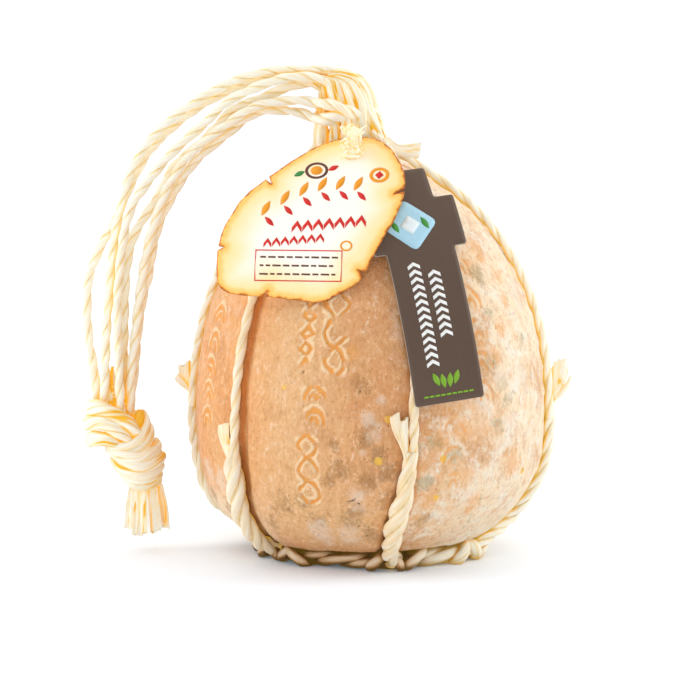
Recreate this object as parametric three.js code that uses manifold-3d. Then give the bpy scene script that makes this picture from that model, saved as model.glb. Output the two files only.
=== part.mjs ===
// A provolone cheese in its raffia net. Six cords run up the rind from a twisted ring under the
// cheese, are bound together above it, and go on as six free strands to one large knot with a
// tassel. A parchment tag and a card tag hang from the binding.
// Millimetres, +Z up. The origin is on the floor, under the middle of the cheese. The front looks
// along -Y and +X is to the right. An azimuth is 0 at the front and grows towards +X.
import * as THREE from "three";
import { mergeVertices } from "three/addons/utils/BufferGeometryUtils.js";
import Module from "manifold-3d";

const wasm = await Module();
wasm.setup();

const DEGREE = Math.PI / 180;
const GAP = 0.35; // between pieces that touch

// The cheese, a pear shape on a small flat foot
const CHEESE_RADIUS = 85;
const CHEESE_WIDEST_Z = 72;
const CHEESE_TOP_Z = 195;
const CHEESE_ROUNDING_BELOW_FLOOR = 1.5; // the foot is flat because the round end is cut by the floor
const LOWER_FULLNESS = 0.769; // 1 is an ellipse, and less is fuller
const UPPER_FULLNESS = 0.909;
const SHOULDER_SLOPE = 1.2; // above 1 the shoulder draws in towards the neck
const CHEESE_LEAN = -7; // how far the top stands from the middle
const LEAN_LATENESS = 8; // the higher, the nearer to the top the lean begins
const SAG = { x: -2.4, z: 22, halfHeight: 24 }; // of the low part, to the left
const CHEESE_SWELL = 1.1; // how far the rind swells and sinks over its whole height
const CHEESE_ROWS = 21;
const CHEESE_LAST_ROW = 86; // latitude in degrees
const COLUMNS_BETWEEN_CORDS = 9;

// The twine
const CORD_RADIUS = 2.45;
const CORD_SIDES = 8;
const CORD_STEP = 8;
const CORD_OFF_RIND = 0.25; // more than the gap, so that the flat sides stay clear too
const TWIST_PITCH = 38; // of two cords that are twisted round each other
const TWIST_RADIUS = 2.9; // of each cord's middle line in the twist
const TWIST_ENDS_OVER = 11; // degrees of latitude above the tail, over which the twist ends
const TAIL_STEP = 6;
const TAIL_FREE_LENGTH = 13;
const GROOVE_HALF_WIDTH = 11;
const NET_LEAVES_RIND = 64; // latitude in degrees
const NET_FOOT_OFF_RING = 11;
const NET_SAMPLES = 60; // along one cord's middle line

// The net's six cords. Azimuths in degrees at the top, over the lower half and at the ring's
// knot. The groove that the cord has pressed into the rind has a depth, and lies beside the cord
// where it has a side. The tail has the height at which it ends, and its free end goes to a side
// and outwards.
const NET = [
  { name: "left", top: -90, foot: -98, knot: -118, groove: 1.9, tailZ: 80, tailSide: -2, tailOut: 6 },
  {
    name: "left_front", top: -48.5, foot: -51.5, knot: -61,
    groove: 3.2, grooveSide: 3.5, tailZ: 57, tailSide: -6, tailOut: 1.5,
  },
  { name: "front", top: 17.5, foot: 9.5, knot: 9, groove: 2.0, tailZ: 62, tailSide: -8, tailOut: 1.5 },
  { name: "right", top: 86, foot: 83, knot: 58, groove: 1.3, tailZ: 84, tailSide: 2, tailOut: 8 },
  { name: "back_right", top: 142, foot: 139, knot: 137, groove: 2.0, tailZ: 66, tailSide: 6, tailOut: 2 },
  { name: "back_left", top: 201, foot: 202, knot: 200, groove: 2.2, tailZ: 72, tailSide: -6, tailOut: 2 },
];

// The ring under the cheese, two cords twisted into one and tied to each cord of the net
const RING_X = 2; // its middle
const RING_OFF_CHEESE = 2.5; // from the middle of the rind that rests on it
const RING_RADIUS = 48;
const RING_THICKNESS = 4.35; // radius of the twisted pair
const RING_PINCH = 0.16; // how far the pair's section draws in between its two cords
const RING_TURNS = 6;
const RING_SEGMENTS = 48;
const RING_SIDES = 6;
const RING_DENT = 5; // how deep the cheese sits on the ring
const DENT_HALF_WIDTH = 9.5;
const KNOT_SIZE = [8.5, 5.5, 4.4]; // half sizes along the ring, across it and up
const KNOT_OUT = 2.5; // from the ring's middle line

// The binding over the cheese
const BINDING_X = -11.5;
const BINDING_Z = 203;
const BINDING_TOP_Z = 221.4;
const BINDING_FOOT = [15, 12.5]; // half sizes of the gathered cords, along X and Y
const BINDING_HEAD = [11.5, 8];
const BINDING_LOBES = 6;
const WRAP_Z = 213;
const WRAP_TILT = -9 * DEGREE;
const WRAP_THICKNESS = 3.2; // half the height of one turn
const WRAP_APART = 2.9;
const WRAP_OUT = 3.6; // how far the turns stand out of the gathered cords
const CORD_CIRCLE = 12.2; // of the cords where they enter the binding

// The free strands, from the binding over to the left and down to the knot. Each route is a list
// of [x, y, z].
const STRANDS = [
  [
    [-3.5, 0, 222.5], [-4.5, 0, 226.5], [-8.5, 0, 230.5], [-14.5, 0.2, 233], [-22.5, 0.2, 234.5],
    [-34.5, 0.2, 234.5], [-50.5, 0, 233.5], [-66.5, -0.2, 229], [-86, -0.6, 218],
    [-104, -0.8, 203.5], [-115, -1, 187.5], [-120, -1.4, 171.5], [-124, -1.8, 153.5],
    [-126, -2.2, 133], [-128, -3, 112], [-129, -3.8, 87.5], [-129.5, -4.4, 72.2],
  ],
  [
    [-9.5, 5.2, 222.5], [-11.5, 5.2, 226.5], [-16, 5.4, 230], [-21.5, 5.4, 231.5],
    [-29, 5.4, 232.5], [-42.5, 5.4, 232], [-58.5, 5.4, 228.5], [-76, 5.4, 220.5],
    [-92.5, 5.4, 209.5], [-107.5, 5.4, 194.5], [-118.5, 5.4, 173.5], [-124.5, 5.2, 160],
    [-130, 5.2, 150.5], [-136.5, 4.8, 135], [-138, 4.6, 120], [-137, 4.2, 102], [-135, 4, 89.5],
    [-133.5, 3.6, 72.2],
  ],
  [
    [-16, -4, 223], [-18, -4.2, 226.5], [-22.5, -4.6, 230], [-29, -4.8, 231.5], [-38.5, -5, 231.5],
    [-54.5, -5, 227], [-70.5, -5, 218.5], [-80, -5, 209.5], [-96, -5.2, 195],
    [-106.5, -5.4, 182.5], [-115.5, -5.6, 169], [-120, -6, 150], [-122.5, -6.4, 124.5],
    [-122.5, -6.6, 112], [-122, -6.8, 87.5], [-121.5, -7, 72.2],
  ],
  [
    [-20.5, 1.6, 223.7], [-23.5, 1.8, 226], [-28.5, 1.8, 228], [-35.5, 2, 227.5],
    [-46.5, 2.2, 223.5], [-57.5, 2.2, 219], [-66.5, 2.4, 215], [-80.5, 2.4, 200.5],
    [-94.5, 2.4, 188], [-103, 2.2, 173], [-114.5, 2, 154.5], [-118.5, 1.8, 138],
    [-119.5, 1.4, 120.5], [-120, 1.2, 103], [-121, 0.8, 72.2],
  ],
  [
    [-27, -8, 219.5], [-32, -7.8, 220.5], [-38.5, -7.6, 220.5], [-54.5, -7.2, 218],
    [-72, -6.8, 207], [-88, -6.2, 194], [-98, -5.8, 178.5], [-105, -5.4, 159.5],
    [-109.5, -4.8, 141.5], [-112, -4.4, 124.5], [-115, -4.2, 100], [-116.5, -3.8, 87.5],
    [-117, -3.4, 72.2],
  ],
  [
    [-28, -6, 212], [-33, -4.8, 214], [-38.5, -3.6, 215], [-54.5, -2.6, 214.5],
    [-70, -1.8, 203.5], [-86, -1, 189], [-97.5, 0, 171], [-103.5, 0.8, 157],
    [-108.5, 1.6, 132.5], [-111, 2.4, 122.5], [-114, 3.2, 100], [-115.5, 4, 85], [-117, 4.8, 72.2],
  ],
];
const STRAND_STEP = 12;

// The knot that ends the strands
const KNOT_BODY = [
  // height, middle along X, half sizes along X and Y
  { z: 71.6, x: -124.5, half: [11, 9] },
  { z: 67, x: -121.8, half: [10.4, 9.5] },
  { z: 57.6, x: -116, half: [11.8, 11.5] },
  { z: 49.7, x: -114.5, half: [14.3, 12.5] },
  { z: 44.3, x: -113.5, half: [14.8, 12.5] },
  { z: 39.9, x: -113, half: [12.9, 11.5] },
  { z: 33.5, x: -111.3, half: [10.2, 9] },
  { z: 29.6, x: -109.4, half: [7.8, 5.5] },
];
const KNOT_SIDES = 12;
const BIGHTS = [
  // the bends of the strands that stand out of the knot: [x, y, z] along each
  [[-112.8, -10, 57], [-124, -11.4, 64], [-133.5, -8, 68.2], [-137.3, -2, 68.4], [-124, 4, 64]],
  [[-116, -11.5, 53.5], [-126, -12, 58.5], [-134.5, -8.5, 61.6], [-138.3, -2, 61.4], [-124, 4, 57]],
  [[-119, -11.5, 50.5], [-128, -11.5, 53], [-134.5, -7.5, 54.2], [-137, -1.5, 53.4], [-122, 4, 50]],
];
const BIGHT_RADIUS = 3.2;

// The tassel: middle of each flat strip at the knot, and at its cut end
const TASSEL = [
  [[-115.4, -2.2, 29.1], [-116.6, -4, 10.8]],
  [[-111.4, -3.6, 29.1], [-112.4, -6.4, 6.4]],
  [[-107.2, -3.2, 29.1], [-106, -5.4, 8.6]],
  [[-103.8, -1, 29.1], [-102, -1.2, 9.8]],
  [[-112.6, 2.6, 29.1], [-113.4, 3.4, 8.4]],
  [[-107, 3, 29.1], [-106, 4.6, 7.4]],
];
const TASSEL_HALF_WIDTHS = [1.5, 2.3];
const TASSEL_THICKNESS = 1.2;

// The parchment tag, a sheet that hangs over the cheese's shoulder. A sheet has its top's place,
// its turn away from the front, its tilt in its own plane, and its lean from upright at the top
// and at the foot of its length.
const PARCHMENT = { top: [-9.2, -34, 207.6], turn: -13, tilt: 0, leanTop: 49, leanFoot: 5, length: 92 };
const PARCHMENT_THICKNESS = 0.9;
const PARCHMENT_OUTLINE = [
  // across, and down from the top
  [0, 3], [12.3, 3.8], [21, 10], [27, 19], [29.8, 28], [29.8, 36], [26.7, 47], [18.2, 65],
  [12.2, 77], [3.3, 82.7], [-4.7, 87], [-10, 87.4], [-30.4, 85.7], [-50.8, 84.5],
  [-55.6, 81], [-57, 70], [-56.2, 58], [-52.5, 48], [-45.7, 36.4], [-36.5, 27.6], [-19, 12],
  [-8.8, 5.6],
];
const PARCHMENT_MIDDLE = [-14, 46];
const PARCHMENT_RINGS = 3;
const PARCHMENT_CORNERS = 32;
const PARCHMENT_HOLE = [2.6, 13];
const PARCHMENT_HOLE_RADIUS = 2.8;

// The card tag, a stiff die-cut card that lies on the rind and on the front cord
const CARD = { top: [11.8, -42.4, 190.2], turn: 14, tilt: 6.7, leanTop: 42.7, leanFoot: 4.3, length: 120 };
const CARD_THICKNESS = 0.8;
const CARD_PARTS = [
  // from and to a distance down the card, and half the width between them
  { from: 0, to: 16.7, half: 13.4 },
  { from: 16.7, to: 42.8, half: 23 },
  { from: 42.8, to: 115.9, half: 16.8 },
];
const CARD_STEP = 12;

// The ties of the two tags, and the cut end of the binding that stands out on the right. The
// parchment's tie and that end are flat: half widths are given from their start to their end.
const PARCHMENT_TIE = [[-10.6, -13, 208.4], [-10.2, -24, 210.8], [-9.2, -36, 210], [-8.4, -43.6, 206.4]];
const PARCHMENT_TIE_IN_HOLE = [3.4, 0.4, -3.4]; // out of the sheet's face, on the way through
const PARCHMENT_TIE_HALF_WIDTHS = [3, 3.6, 4, 3.6, 2, 1.9, 1.9];
const PARCHMENT_TIE_THICKNESS = 2;
const CARD_TIE = [[0.4, -11.6, 206], [6, -22, 202.6], [10.6, -33, 197], [12.4, -38.5, 191.5]];
const CARD_TIE_RADIUS = 1.3;
const BINDING_END = [[6.4, -7, 201.6], [12, -10, 197.4], [22.8, -13, 196.8]];
const BINDING_END_HALF_WIDTHS = [2.2, 2.6, 3.9];
const BINDING_END_THICKNESS = 1;

const COLOURS = {
  rind: 0xe2b98f,
  raffia: 0xf3dcb4,
  parchment: 0xf6e2bd,
  card: 0x5b4a3e,
};

const at = ([x, y, z]) => new THREE.Vector3(x, y, z);
const ease = (share) => THREE.MathUtils.smoothstep(share, 0, 1);
const mix = THREE.MathUtils.lerp;
const SIDEWAYS = new THREE.Vector3(1, 0, 0);
const UPWARDS = new THREE.Vector3(0, 0, 1);

// Rings of points, each a closed loop that runs anticlockwise seen from the last ring, as one
// closed skin.
function loft(rings) {
  const sides = rings[0].length;
  const corners = rings.flat();
  const faces = [];
  for (let i = 0; i + 1 < rings.length; i++)
    for (let k = 0; k < sides; k++) {
      const a = i * sides + k;
      const b = i * sides + ((k + 1) % sides);
      faces.push(a, b, b + sides, a, b + sides, a + sides);
    }
  for (const [first, up] of [[0, false], [(rings.length - 1) * sides, true]]) {
    const middle = corners.length;
    const ring = corners.slice(first, first + sides);
    corners.push(ring.reduce((sum, p) => sum.add(p), new THREE.Vector3()).divideScalar(sides));
    for (let k = 0; k < sides; k++) {
      const pair = [first + k, first + ((k + 1) % sides)];
      faces.push(...(up ? pair : pair.reverse()), middle);
    }
  }
  return new THREE.BufferGeometry().setFromPoints(corners).setIndex(faces);
}

// A flat loop of points: an ellipse with, where asked, lobes round it.
function loop(middle, across, along, sides, lobes = 0, depth = 0) {
  return Array.from({ length: sides }, (_, k) => {
    const angle = (2 * Math.PI * k) / sides;
    const swell = 1 + depth * Math.cos(lobes * angle);
    return middle
      .clone()
      .addScaledVector(across, Math.cos(angle) * swell)
      .addScaledVector(along, Math.sin(angle) * swell);
  });
}

// A tube of flat sides along a smooth curve through the points.
function tube(points, radius, step, sides = CORD_SIDES, flatness = 1) {
  const curve = new THREE.CatmullRomCurve3(points, false, "centripetal");
  const section = new THREE.Shape(
    Array.from({ length: sides }, (_, k) => {
      const angle = (2 * Math.PI * (k + 0.5)) / sides;
      return new THREE.Vector2(radius * Math.cos(angle), radius * flatness * Math.sin(angle));
    }),
  );
  const steps = Math.max(3, Math.round(curve.getLength() / step));
  return new THREE.ExtrudeGeometry(section, { steps, extrudePath: curve, bevelEnabled: false });
}

// A flat strip along a smooth curve, its width turned along one direction as far as it can be.
function ribbon(places, halfWidths, thickness, across, rows) {
  const curve = new THREE.CatmullRomCurve3(places, false, "centripetal");
  return loft(
    Array.from({ length: rows + 1 }, (_, i) => {
      const along = (i / rows) * (halfWidths.length - 1);
      const before = Math.min(Math.floor(along), halfWidths.length - 2);
      const half = mix(halfWidths[before], halfWidths[before + 1], along - before);
      const forward = curve.getTangent(i / rows);
      const wide = across.clone().addScaledVector(forward, -forward.dot(across)).normalize();
      const thick = forward.clone().cross(wide);
      return loop(
        curve.getPoint(i / rows), wide.multiplyScalar(half), thick.multiplyScalar(thickness / 2), 6,
      );
    }),
  );
}

// A geometry as a manifold-3d solid, and back.
function solid(geometry) {
  const bare = geometry.clone();
  for (const name of Object.keys(bare.attributes))
    if (name !== "position") bare.deleteAttribute(name);
  const merged = mergeVertices(bare, 1e-3);
  return new wasm.Manifold(
    new wasm.Mesh({
      numProp: 3,
      vertProperties: merged.attributes.position.array,
      triVerts: new Uint32Array(merged.index.array),
    }),
  );
}

function geometryOf(made) {
  const { vertProperties, triVerts } = made.getMesh();
  return new THREE.BufferGeometry()
    .setAttribute("position", new THREE.BufferAttribute(vertProperties, 3))
    .setIndex(new THREE.BufferAttribute(triVerts, 1));
}

const fuse = (geometries) =>
  geometryOf(geometries.map(solid).reduce((whole, part) => whole.add(part)));

// --- The cheese -------------------------------------------------------------------------------

// The rind's radius and height at a latitude, from about -75 degrees at the foot to 90 at the top.
function profile(latitude) {
  const [across, up] = [Math.cos(latitude), Math.sin(latitude)];
  if (up < 0)
    return {
      r: CHEESE_RADIUS * across ** LOWER_FULLNESS,
      z: CHEESE_WIDEST_Z - (CHEESE_WIDEST_Z + CHEESE_ROUNDING_BELOW_FLOOR) * (-up) ** LOWER_FULLNESS,
    };
  return {
    r: CHEESE_RADIUS * across ** SHOULDER_SLOPE,
    z: CHEESE_WIDEST_Z + (CHEESE_TOP_Z - CHEESE_WIDEST_Z) * up ** UPPER_FULLNESS,
  };
}

function latitudeOfRadiusBelow(r) {
  return -Math.acos((r / CHEESE_RADIUS) ** (1 / LOWER_FULLNESS));
}

function latitudeOfHeight(z) {
  if (z < CHEESE_WIDEST_Z) {
    const share = (CHEESE_WIDEST_Z - z) / (CHEESE_WIDEST_Z + CHEESE_ROUNDING_BELOW_FLOOR);
    return -Math.asin(share ** (1 / LOWER_FULLNESS));
  }
  const share = (z - CHEESE_WIDEST_Z) / (CHEESE_TOP_Z - CHEESE_WIDEST_Z);
  return Math.asin(share ** (1 / UPPER_FULLNESS));
}

// A cord keeps one azimuth over the lower half, swings to its own place higher up, and to its
// knot close to the ring.
function cordAzimuth(cord, latitude) {
  const degrees = latitude / DEGREE;
  const upper = mix(cord.foot, cord.top, ease((degrees + 35) / 90));
  return mix(upper, cord.knot, ease((-36 - degrees) / 26)) * DEGREE;
}

// 1 under a cord or the ring, down to 0 at the half width.
const hollow = (away, halfWidth) =>
  Math.abs(away) < halfWidth ? Math.cos(((Math.PI / 2) * away) / halfWidth) ** 2 : 0;

const ringReach = (azimuth) => RING_RADIUS + RING_OFF_CHEESE * Math.sin(azimuth);

// How deep the net's cords and the ring have pressed in at a place on the rind.
function grooveDepth(azimuth, latitude) {
  const { r } = profile(latitude);
  const outsideRing = latitude < 0 ? ease((r - RING_RADIUS) / 6) : 1;
  const depths = NET.map((cord) => {
    const turn = azimuth - cordAzimuth(cord, latitude);
    const away = r * Math.atan2(Math.sin(turn), Math.cos(turn)) - (cord.grooveSide ?? 0);
    return cord.groove * hollow(away, GROOVE_HALF_WIDTH) * outsideRing;
  });
  return Math.max(...depths);
}

const ringDent = (azimuth, latitude) =>
  latitude < 0 ? RING_DENT * hollow(profile(latitude).r - ringReach(azimuth), DENT_HALF_WIDTH) : 0;

function swell(azimuth, latitude) {
  const girth = Math.cos(latitude) ** 2;
  return CHEESE_SWELL * girth * (Math.sin(3 * azimuth + 0.9) * 0.5 + Math.sin(2 * azimuth + 2 * latitude));
}

// The direction straight out of the rind's profile, as parts outwards and upwards.
function outwards(latitude) {
  const small = 0.5 * DEGREE;
  const [low, high] = [profile(latitude - small), profile(latitude + small)];
  const length = Math.hypot(high.r - low.r, high.z - low.z);
  return { r: (high.z - low.z) / length, z: (low.r - high.r) / length };
}

// A point at a distance off the rind.
function onRind(azimuth, latitude, off = 0) {
  const { r, z } = profile(latitude);
  const out = outwards(latitude);
  const pressed = Math.max(grooveDepth(azimuth, latitude), ringDent(azimuth, latitude));
  const move = off + swell(azimuth, latitude) - pressed;
  const height = z + out.z * move;
  const reach = r + out.r * move;
  const lean = CHEESE_LEAN * (Math.max(0, height) / CHEESE_TOP_Z) ** LEAN_LATENESS;
  const sag = SAG.x * hollow(height - SAG.z, SAG.halfHeight);
  return new THREE.Vector3(
    reach * Math.sin(azimuth) + lean + sag, -reach * Math.cos(azimuth), height,
  );
}

// The rind's columns stand close together beside each cord and further apart between two.
function columnAzimuth(column, latitude) {
  const sector = Math.floor(column / COLUMNS_BETWEEN_CORDS);
  const share = (column % COLUMNS_BETWEEN_CORDS) / COLUMNS_BETWEEN_CORDS;
  const crowded = share - (0.45 * Math.sin(2 * Math.PI * share)) / (2 * Math.PI);
  const from = cordAzimuth(NET[sector], latitude);
  const next = cordAzimuth(NET[(sector + 1) % NET.length], latitude);
  const turn = next > from ? next - from : next - from + 2 * Math.PI;
  return from + turn * crowded;
}

// The lowest rows lie on the ring's circle and beside it. The others are latitudes.
function cheese() {
  const foot = latitudeOfHeight(0);
  const offRing = [-9, -4.5, 0, 4.5, 9];
  const first = latitudeOfRadiusBelow(RING_RADIUS + RING_X + offRing.at(-1));
  const upper = Array.from(
    { length: CHEESE_ROWS },
    (_, i) => mix(first, CHEESE_LAST_ROW * DEGREE, (i + 1) / CHEESE_ROWS),
  );
  const row = (azimuthAt, latitudeAt) =>
    Array.from({ length: NET.length * COLUMNS_BETWEEN_CORDS }, (_, column) => {
      const azimuth = columnAzimuth(column, azimuthAt);
      return onRind(azimuth, latitudeAt(azimuth));
    });
  return loft([
    row(first, () => foot).map((point) => point.setZ(0)),
    ...offRing.map((off) => row(first, (azimuth) => latitudeOfRadiusBelow(ringReach(azimuth) + off))),
    ...upper.map((latitude) => row(latitude, () => latitude)),
  ]);
}

// --- The net ----------------------------------------------------------------------------------

// The middle line of one of the net's cords, from the ring up, as places with the directions
// out of the rind and to its right. Up to the tail's end the cord and its tail are twisted
// round this line.
function netLine(cord) {
  const places = [];
  const foot = latitudeOfRadiusBelow(ringReach(cord.knot * DEGREE) + NET_FOOT_OFF_RING);
  const join = latitudeOfHeight(cord.tailZ);
  let travelled = 0;
  const placeAt = (latitude) => {
    const azimuth = cordAzimuth(cord, latitude);
    const twisted = 1 - ease((latitude - join) / (TWIST_ENDS_OVER * DEGREE));
    const off = CORD_RADIUS + GAP + CORD_OFF_RIND + twisted * (CORD_RADIUS + GAP);
    return { azimuth, twisted, point: onRind(azimuth, latitude, off) };
  };
  for (let i = 0; i <= NET_SAMPLES; i++) {
    const latitude = mix(foot, NET_LEAVES_RIND * DEGREE, i / NET_SAMPLES);
    const { azimuth, twisted, point } = placeAt(latitude);
    const out = outwards(latitude);
    const away = new THREE.Vector3(
      out.r * Math.sin(azimuth), -out.r * Math.cos(azimuth), out.z,
    );
    const onwards = placeAt(latitude + 0.5 * DEGREE).point.sub(point);
    const right = onwards.cross(away).normalize();
    if (i) travelled += point.distanceTo(places.at(-1).point);
    places.push({ point, right, away, twisted, travelled, latitude });
  }
  const joined = places.find((place) => place.latitude >= join).travelled;
  return { places, joined };
}

function twistAngle(cord, behind) {
  return (Math.sign(cord.tailSide) * Math.PI) / 2 + (2 * Math.PI * behind) / TWIST_PITCH;
}

function netCord(cord) {
  const { places, joined } = netLine(cord);
  const points = places.map(({ point, right, away, twisted, travelled }) => {
    const angle = twistAngle(cord, joined - travelled) + Math.PI;
    return point
      .clone()
      .addScaledVector(away, TWIST_RADIUS * twisted * Math.cos(angle))
      .addScaledVector(right, TWIST_RADIUS * twisted * Math.sin(angle));
  });
  const last = points.at(-1);
  const heading = cordAzimuth(cord, NET_LEAVES_RIND * DEGREE);
  const slot = new THREE.Vector3(
    BINDING_X + 1 + CORD_CIRCLE * Math.sin(heading), -CORD_CIRCLE * 0.8 * Math.cos(heading), BINDING_Z - GAP,
  );
  const before = slot.clone().setZ(slot.z - 3);
  const bend = last.clone().lerp(slot, 0.62).setZ(mix(last.z, slot.z, 0.5));
  return tube([...points, bend, before, slot], CORD_RADIUS, CORD_STEP);
}

function netTail(cord) {
  const { places, joined } = netLine(cord);
  const points = [];
  for (const { point, right, away, travelled } of places) {
    const past = travelled - joined;
    if (past > TAIL_FREE_LENGTH) break;
    const free = ease(past / TAIL_FREE_LENGTH);
    const angle = twistAngle(cord, Math.max(0, -past));
    points.push(
      point
        .clone()
        .addScaledVector(away, TWIST_RADIUS * Math.cos(angle) + cord.tailOut * free)
        .addScaledVector(right, TWIST_RADIUS * Math.sin(angle) + cord.tailSide * free),
    );
  }
  return tube(points, CORD_RADIUS, TAIL_STEP);
}

function baseRing() {
  const ring = new THREE.TorusGeometry(RING_RADIUS, RING_THICKNESS, RING_SIDES, RING_SEGMENTS);
  const place = ring.attributes.position;
  for (let i = 0; i < place.count; i++) {
    const [x, y, z] = [place.getX(i), place.getY(i), place.getZ(i)];
    const azimuth = Math.atan2(y, x);
    const off = Math.hypot(x, y) - RING_RADIUS;
    const round = Math.atan2(z, off);
    const pinch = 1 - RING_PINCH * (1 - Math.cos(2 * (round - RING_TURNS * azimuth)));
    const reach = RING_RADIUS + off * pinch;
    place.setXYZ(
      i,
      RING_X + reach * Math.cos(azimuth),
      reach * Math.sin(azimuth),
      RING_THICKNESS + z * pinch,
    );
  }
  const knots = NET.map((cord) => {
    const azimuth = cord.knot * DEGREE;
    const [along, across, up] = KNOT_SIZE;
    return new THREE.IcosahedronGeometry(1, 1)
      .scale(along, across, up)
      .rotateZ(azimuth)
      .translate(
        RING_X + (RING_RADIUS + KNOT_OUT) * Math.sin(azimuth),
        -(RING_RADIUS + KNOT_OUT) * Math.cos(azimuth),
        up,
      );
  });
  return fuse([ring, ...knots]);
}

// --- The binding, the strands and their knot ----------------------------------------------------

function binding() {
  const [alongX, alongY] = [new THREE.Vector3(1, 0, 0), new THREE.Vector3(0, 1, 0)];
  const upright = loft(
    [0, 0.3, 0.65, 1].map((share) => {
      const half = [0, 1].map((k) => mix(BINDING_FOOT[k], BINDING_HEAD[k], ease(share)));
      return loop(
        new THREE.Vector3(BINDING_X + 1 - 2 * share, 0, mix(BINDING_Z, BINDING_TOP_Z, share)),
        alongX.clone().multiplyScalar(half[0]),
        alongY.clone().multiplyScalar(half[1]),
        BINDING_LOBES * 3,
        BINDING_LOBES,
        0.07,
      );
    }),
  );
  const edge = [[0, -1], [0.8, -1], [1, -0.55], [1, 0.55], [0.8, 1], [0, 1]];
  const turns = [-1, 1].map((side) =>
    new THREE.LatheGeometry(edge.map(([r, h]) => new THREE.Vector2(r, h)), 18)
      .rotateX(Math.PI / 2)
      .scale(BINDING_HEAD[0] + WRAP_OUT, BINDING_HEAD[1] + WRAP_OUT, WRAP_THICKNESS)
      .rotateY(-WRAP_TILT)
      .translate(BINDING_X, 0, WRAP_Z + side * WRAP_APART),
  );
  return fuse([upright, ...turns]);
}

const strand = (route) => tube(route.map(at), CORD_RADIUS, STRAND_STEP);

function endKnot() {
  const body = loft(
    KNOT_BODY.toReversed().map(({ z, x, half }) =>
      loop(
        new THREE.Vector3(x, 0, z),
        new THREE.Vector3(half[0], 0, 0),
        new THREE.Vector3(0, half[1], 0),
        KNOT_SIDES,
      ),
    ),
  );
  return fuse([body, ...BIGHTS.map((bight) => tube(bight.map(at), BIGHT_RADIUS, 6))]);
}

// --- The tags ------------------------------------------------------------------------------------

// A place on a sheet: across it, down from its top, and out of its face.
function onSheet(sheet, across, down, out) {
  const [turn, tilt, top, foot] = [sheet.turn, sheet.tilt, sheet.leanTop, sheet.leanFoot].map(
    (angle) => angle * DEGREE,
  );
  const side = across * Math.cos(tilt) + down * Math.sin(tilt);
  const fall = down * Math.cos(tilt) - across * Math.sin(tilt);
  const bend = (top - foot) / sheet.length;
  const lean = top - bend * fall;
  const forward = (Math.cos(lean) - Math.cos(top)) / bend + out * Math.cos(lean);
  const drop = (Math.sin(top) - Math.sin(lean)) / bend - out * Math.sin(lean);
  return at(sheet.top).add(
    new THREE.Vector3(
      side * Math.cos(turn) + forward * Math.sin(turn),
      side * Math.sin(turn) - forward * Math.cos(turn),
      -drop,
    ),
  );
}

function parchmentTag() {
  const outline = new THREE.SplineCurve(
    [...PARCHMENT_OUTLINE, PARCHMENT_OUTLINE[0]].map(([u, w]) => new THREE.Vector2(u, w)),
  ).getSpacedPoints(PARCHMENT_CORNERS);
  outline.pop();
  const middle = new THREE.Vector2(...PARCHMENT_MIDDLE);
  const face = (out) =>
    Array.from({ length: PARCHMENT_RINGS }, (_, i) =>
      outline.map((point) => {
        const { x, y } = middle.clone().lerp(point, (i + 1) / PARCHMENT_RINGS);
        return onSheet(PARCHMENT, x, y, out);
      }),
    );
  const plate = loft([...face(PARCHMENT_THICKNESS), ...face(0).toReversed()]);
  const [u, w] = PARCHMENT_HOLE;
  const hole = loft(
    [-3, 3].map((out) =>
      Array.from({ length: 12 }, (_, k) => {
        const angle = (2 * Math.PI * k) / 12;
        return onSheet(
          PARCHMENT,
          u + PARCHMENT_HOLE_RADIUS * Math.cos(angle),
          w - PARCHMENT_HOLE_RADIUS * Math.sin(angle),
          out,
        );
      }),
    ),
  );
  return geometryOf(solid(plate).subtract(solid(hole)));
}

function cardTag() {
  const rings = CARD_PARTS.flatMap(({ from, to, half }) => {
    const rows = Math.max(1, Math.round((to - from) / CARD_STEP));
    return Array.from({ length: rows + 1 }, (_, i) => {
      const down = mix(from, to, i / rows);
      return [
        onSheet(CARD, -half, down, 0), onSheet(CARD, half, down, 0),
        onSheet(CARD, half, down, CARD_THICKNESS), onSheet(CARD, -half, down, CARD_THICKNESS),
      ];
    });
  });
  return loft(rings);
}

function parchmentTie() {
  const [u, w] = PARCHMENT_HOLE;
  const through = PARCHMENT_TIE_IN_HOLE.map((out) => onSheet(PARCHMENT, u, w, out));
  return ribbon(
    [...PARCHMENT_TIE.map(at), ...through], PARCHMENT_TIE_HALF_WIDTHS, PARCHMENT_TIE_THICKNESS,
    SIDEWAYS, 14,
  );
}

// --- The whole -----------------------------------------------------------------------------------

const looks = Object.fromEntries(
  Object.entries(COLOURS).map(([name, color]) => [
    name, new THREE.MeshStandardMaterial({ color, roughness: 0.7, metalness: 0 }),
  ]),
);
const whole = new THREE.Group();

function add(name, geometry, material) {
  const mesh = new THREE.Mesh(geometry, looks[material]);
  mesh.name = name;
  whole.add(mesh);
}

add("cheese", cheese(), "rind");
add("base_ring", baseRing(), "raffia");
for (const cord of NET) {
  add(`cord_${cord.name}`, netCord(cord), "raffia");
  add(`tail_${cord.name}`, netTail(cord), "raffia");
}
add("top_binding", binding(), "raffia");
STRANDS.forEach((route, i) => add(`strand_${i + 1}`, strand(route), "raffia"));
add("end_knot", endKnot(), "raffia");
TASSEL.forEach((ends, i) =>
  add(
    `tassel_${i + 1}`,
    ribbon(ends.map(at), TASSEL_HALF_WIDTHS, TASSEL_THICKNESS, SIDEWAYS, 3),
    "raffia",
  ),
);
add(
  "binding_end",
  ribbon(BINDING_END.map(at), BINDING_END_HALF_WIDTHS, BINDING_END_THICKNESS, UPWARDS, 4),
  "raffia",
);
add("parchment_tag", parchmentTag(), "parchment");
add("parchment_tie", parchmentTie(), "raffia");
add("card_tag", cardTag(), "card");
add("card_tie", tube(CARD_TIE.map(at), CARD_TIE_RADIUS, 8, 6), "raffia");

export default whole;
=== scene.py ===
import math

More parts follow.
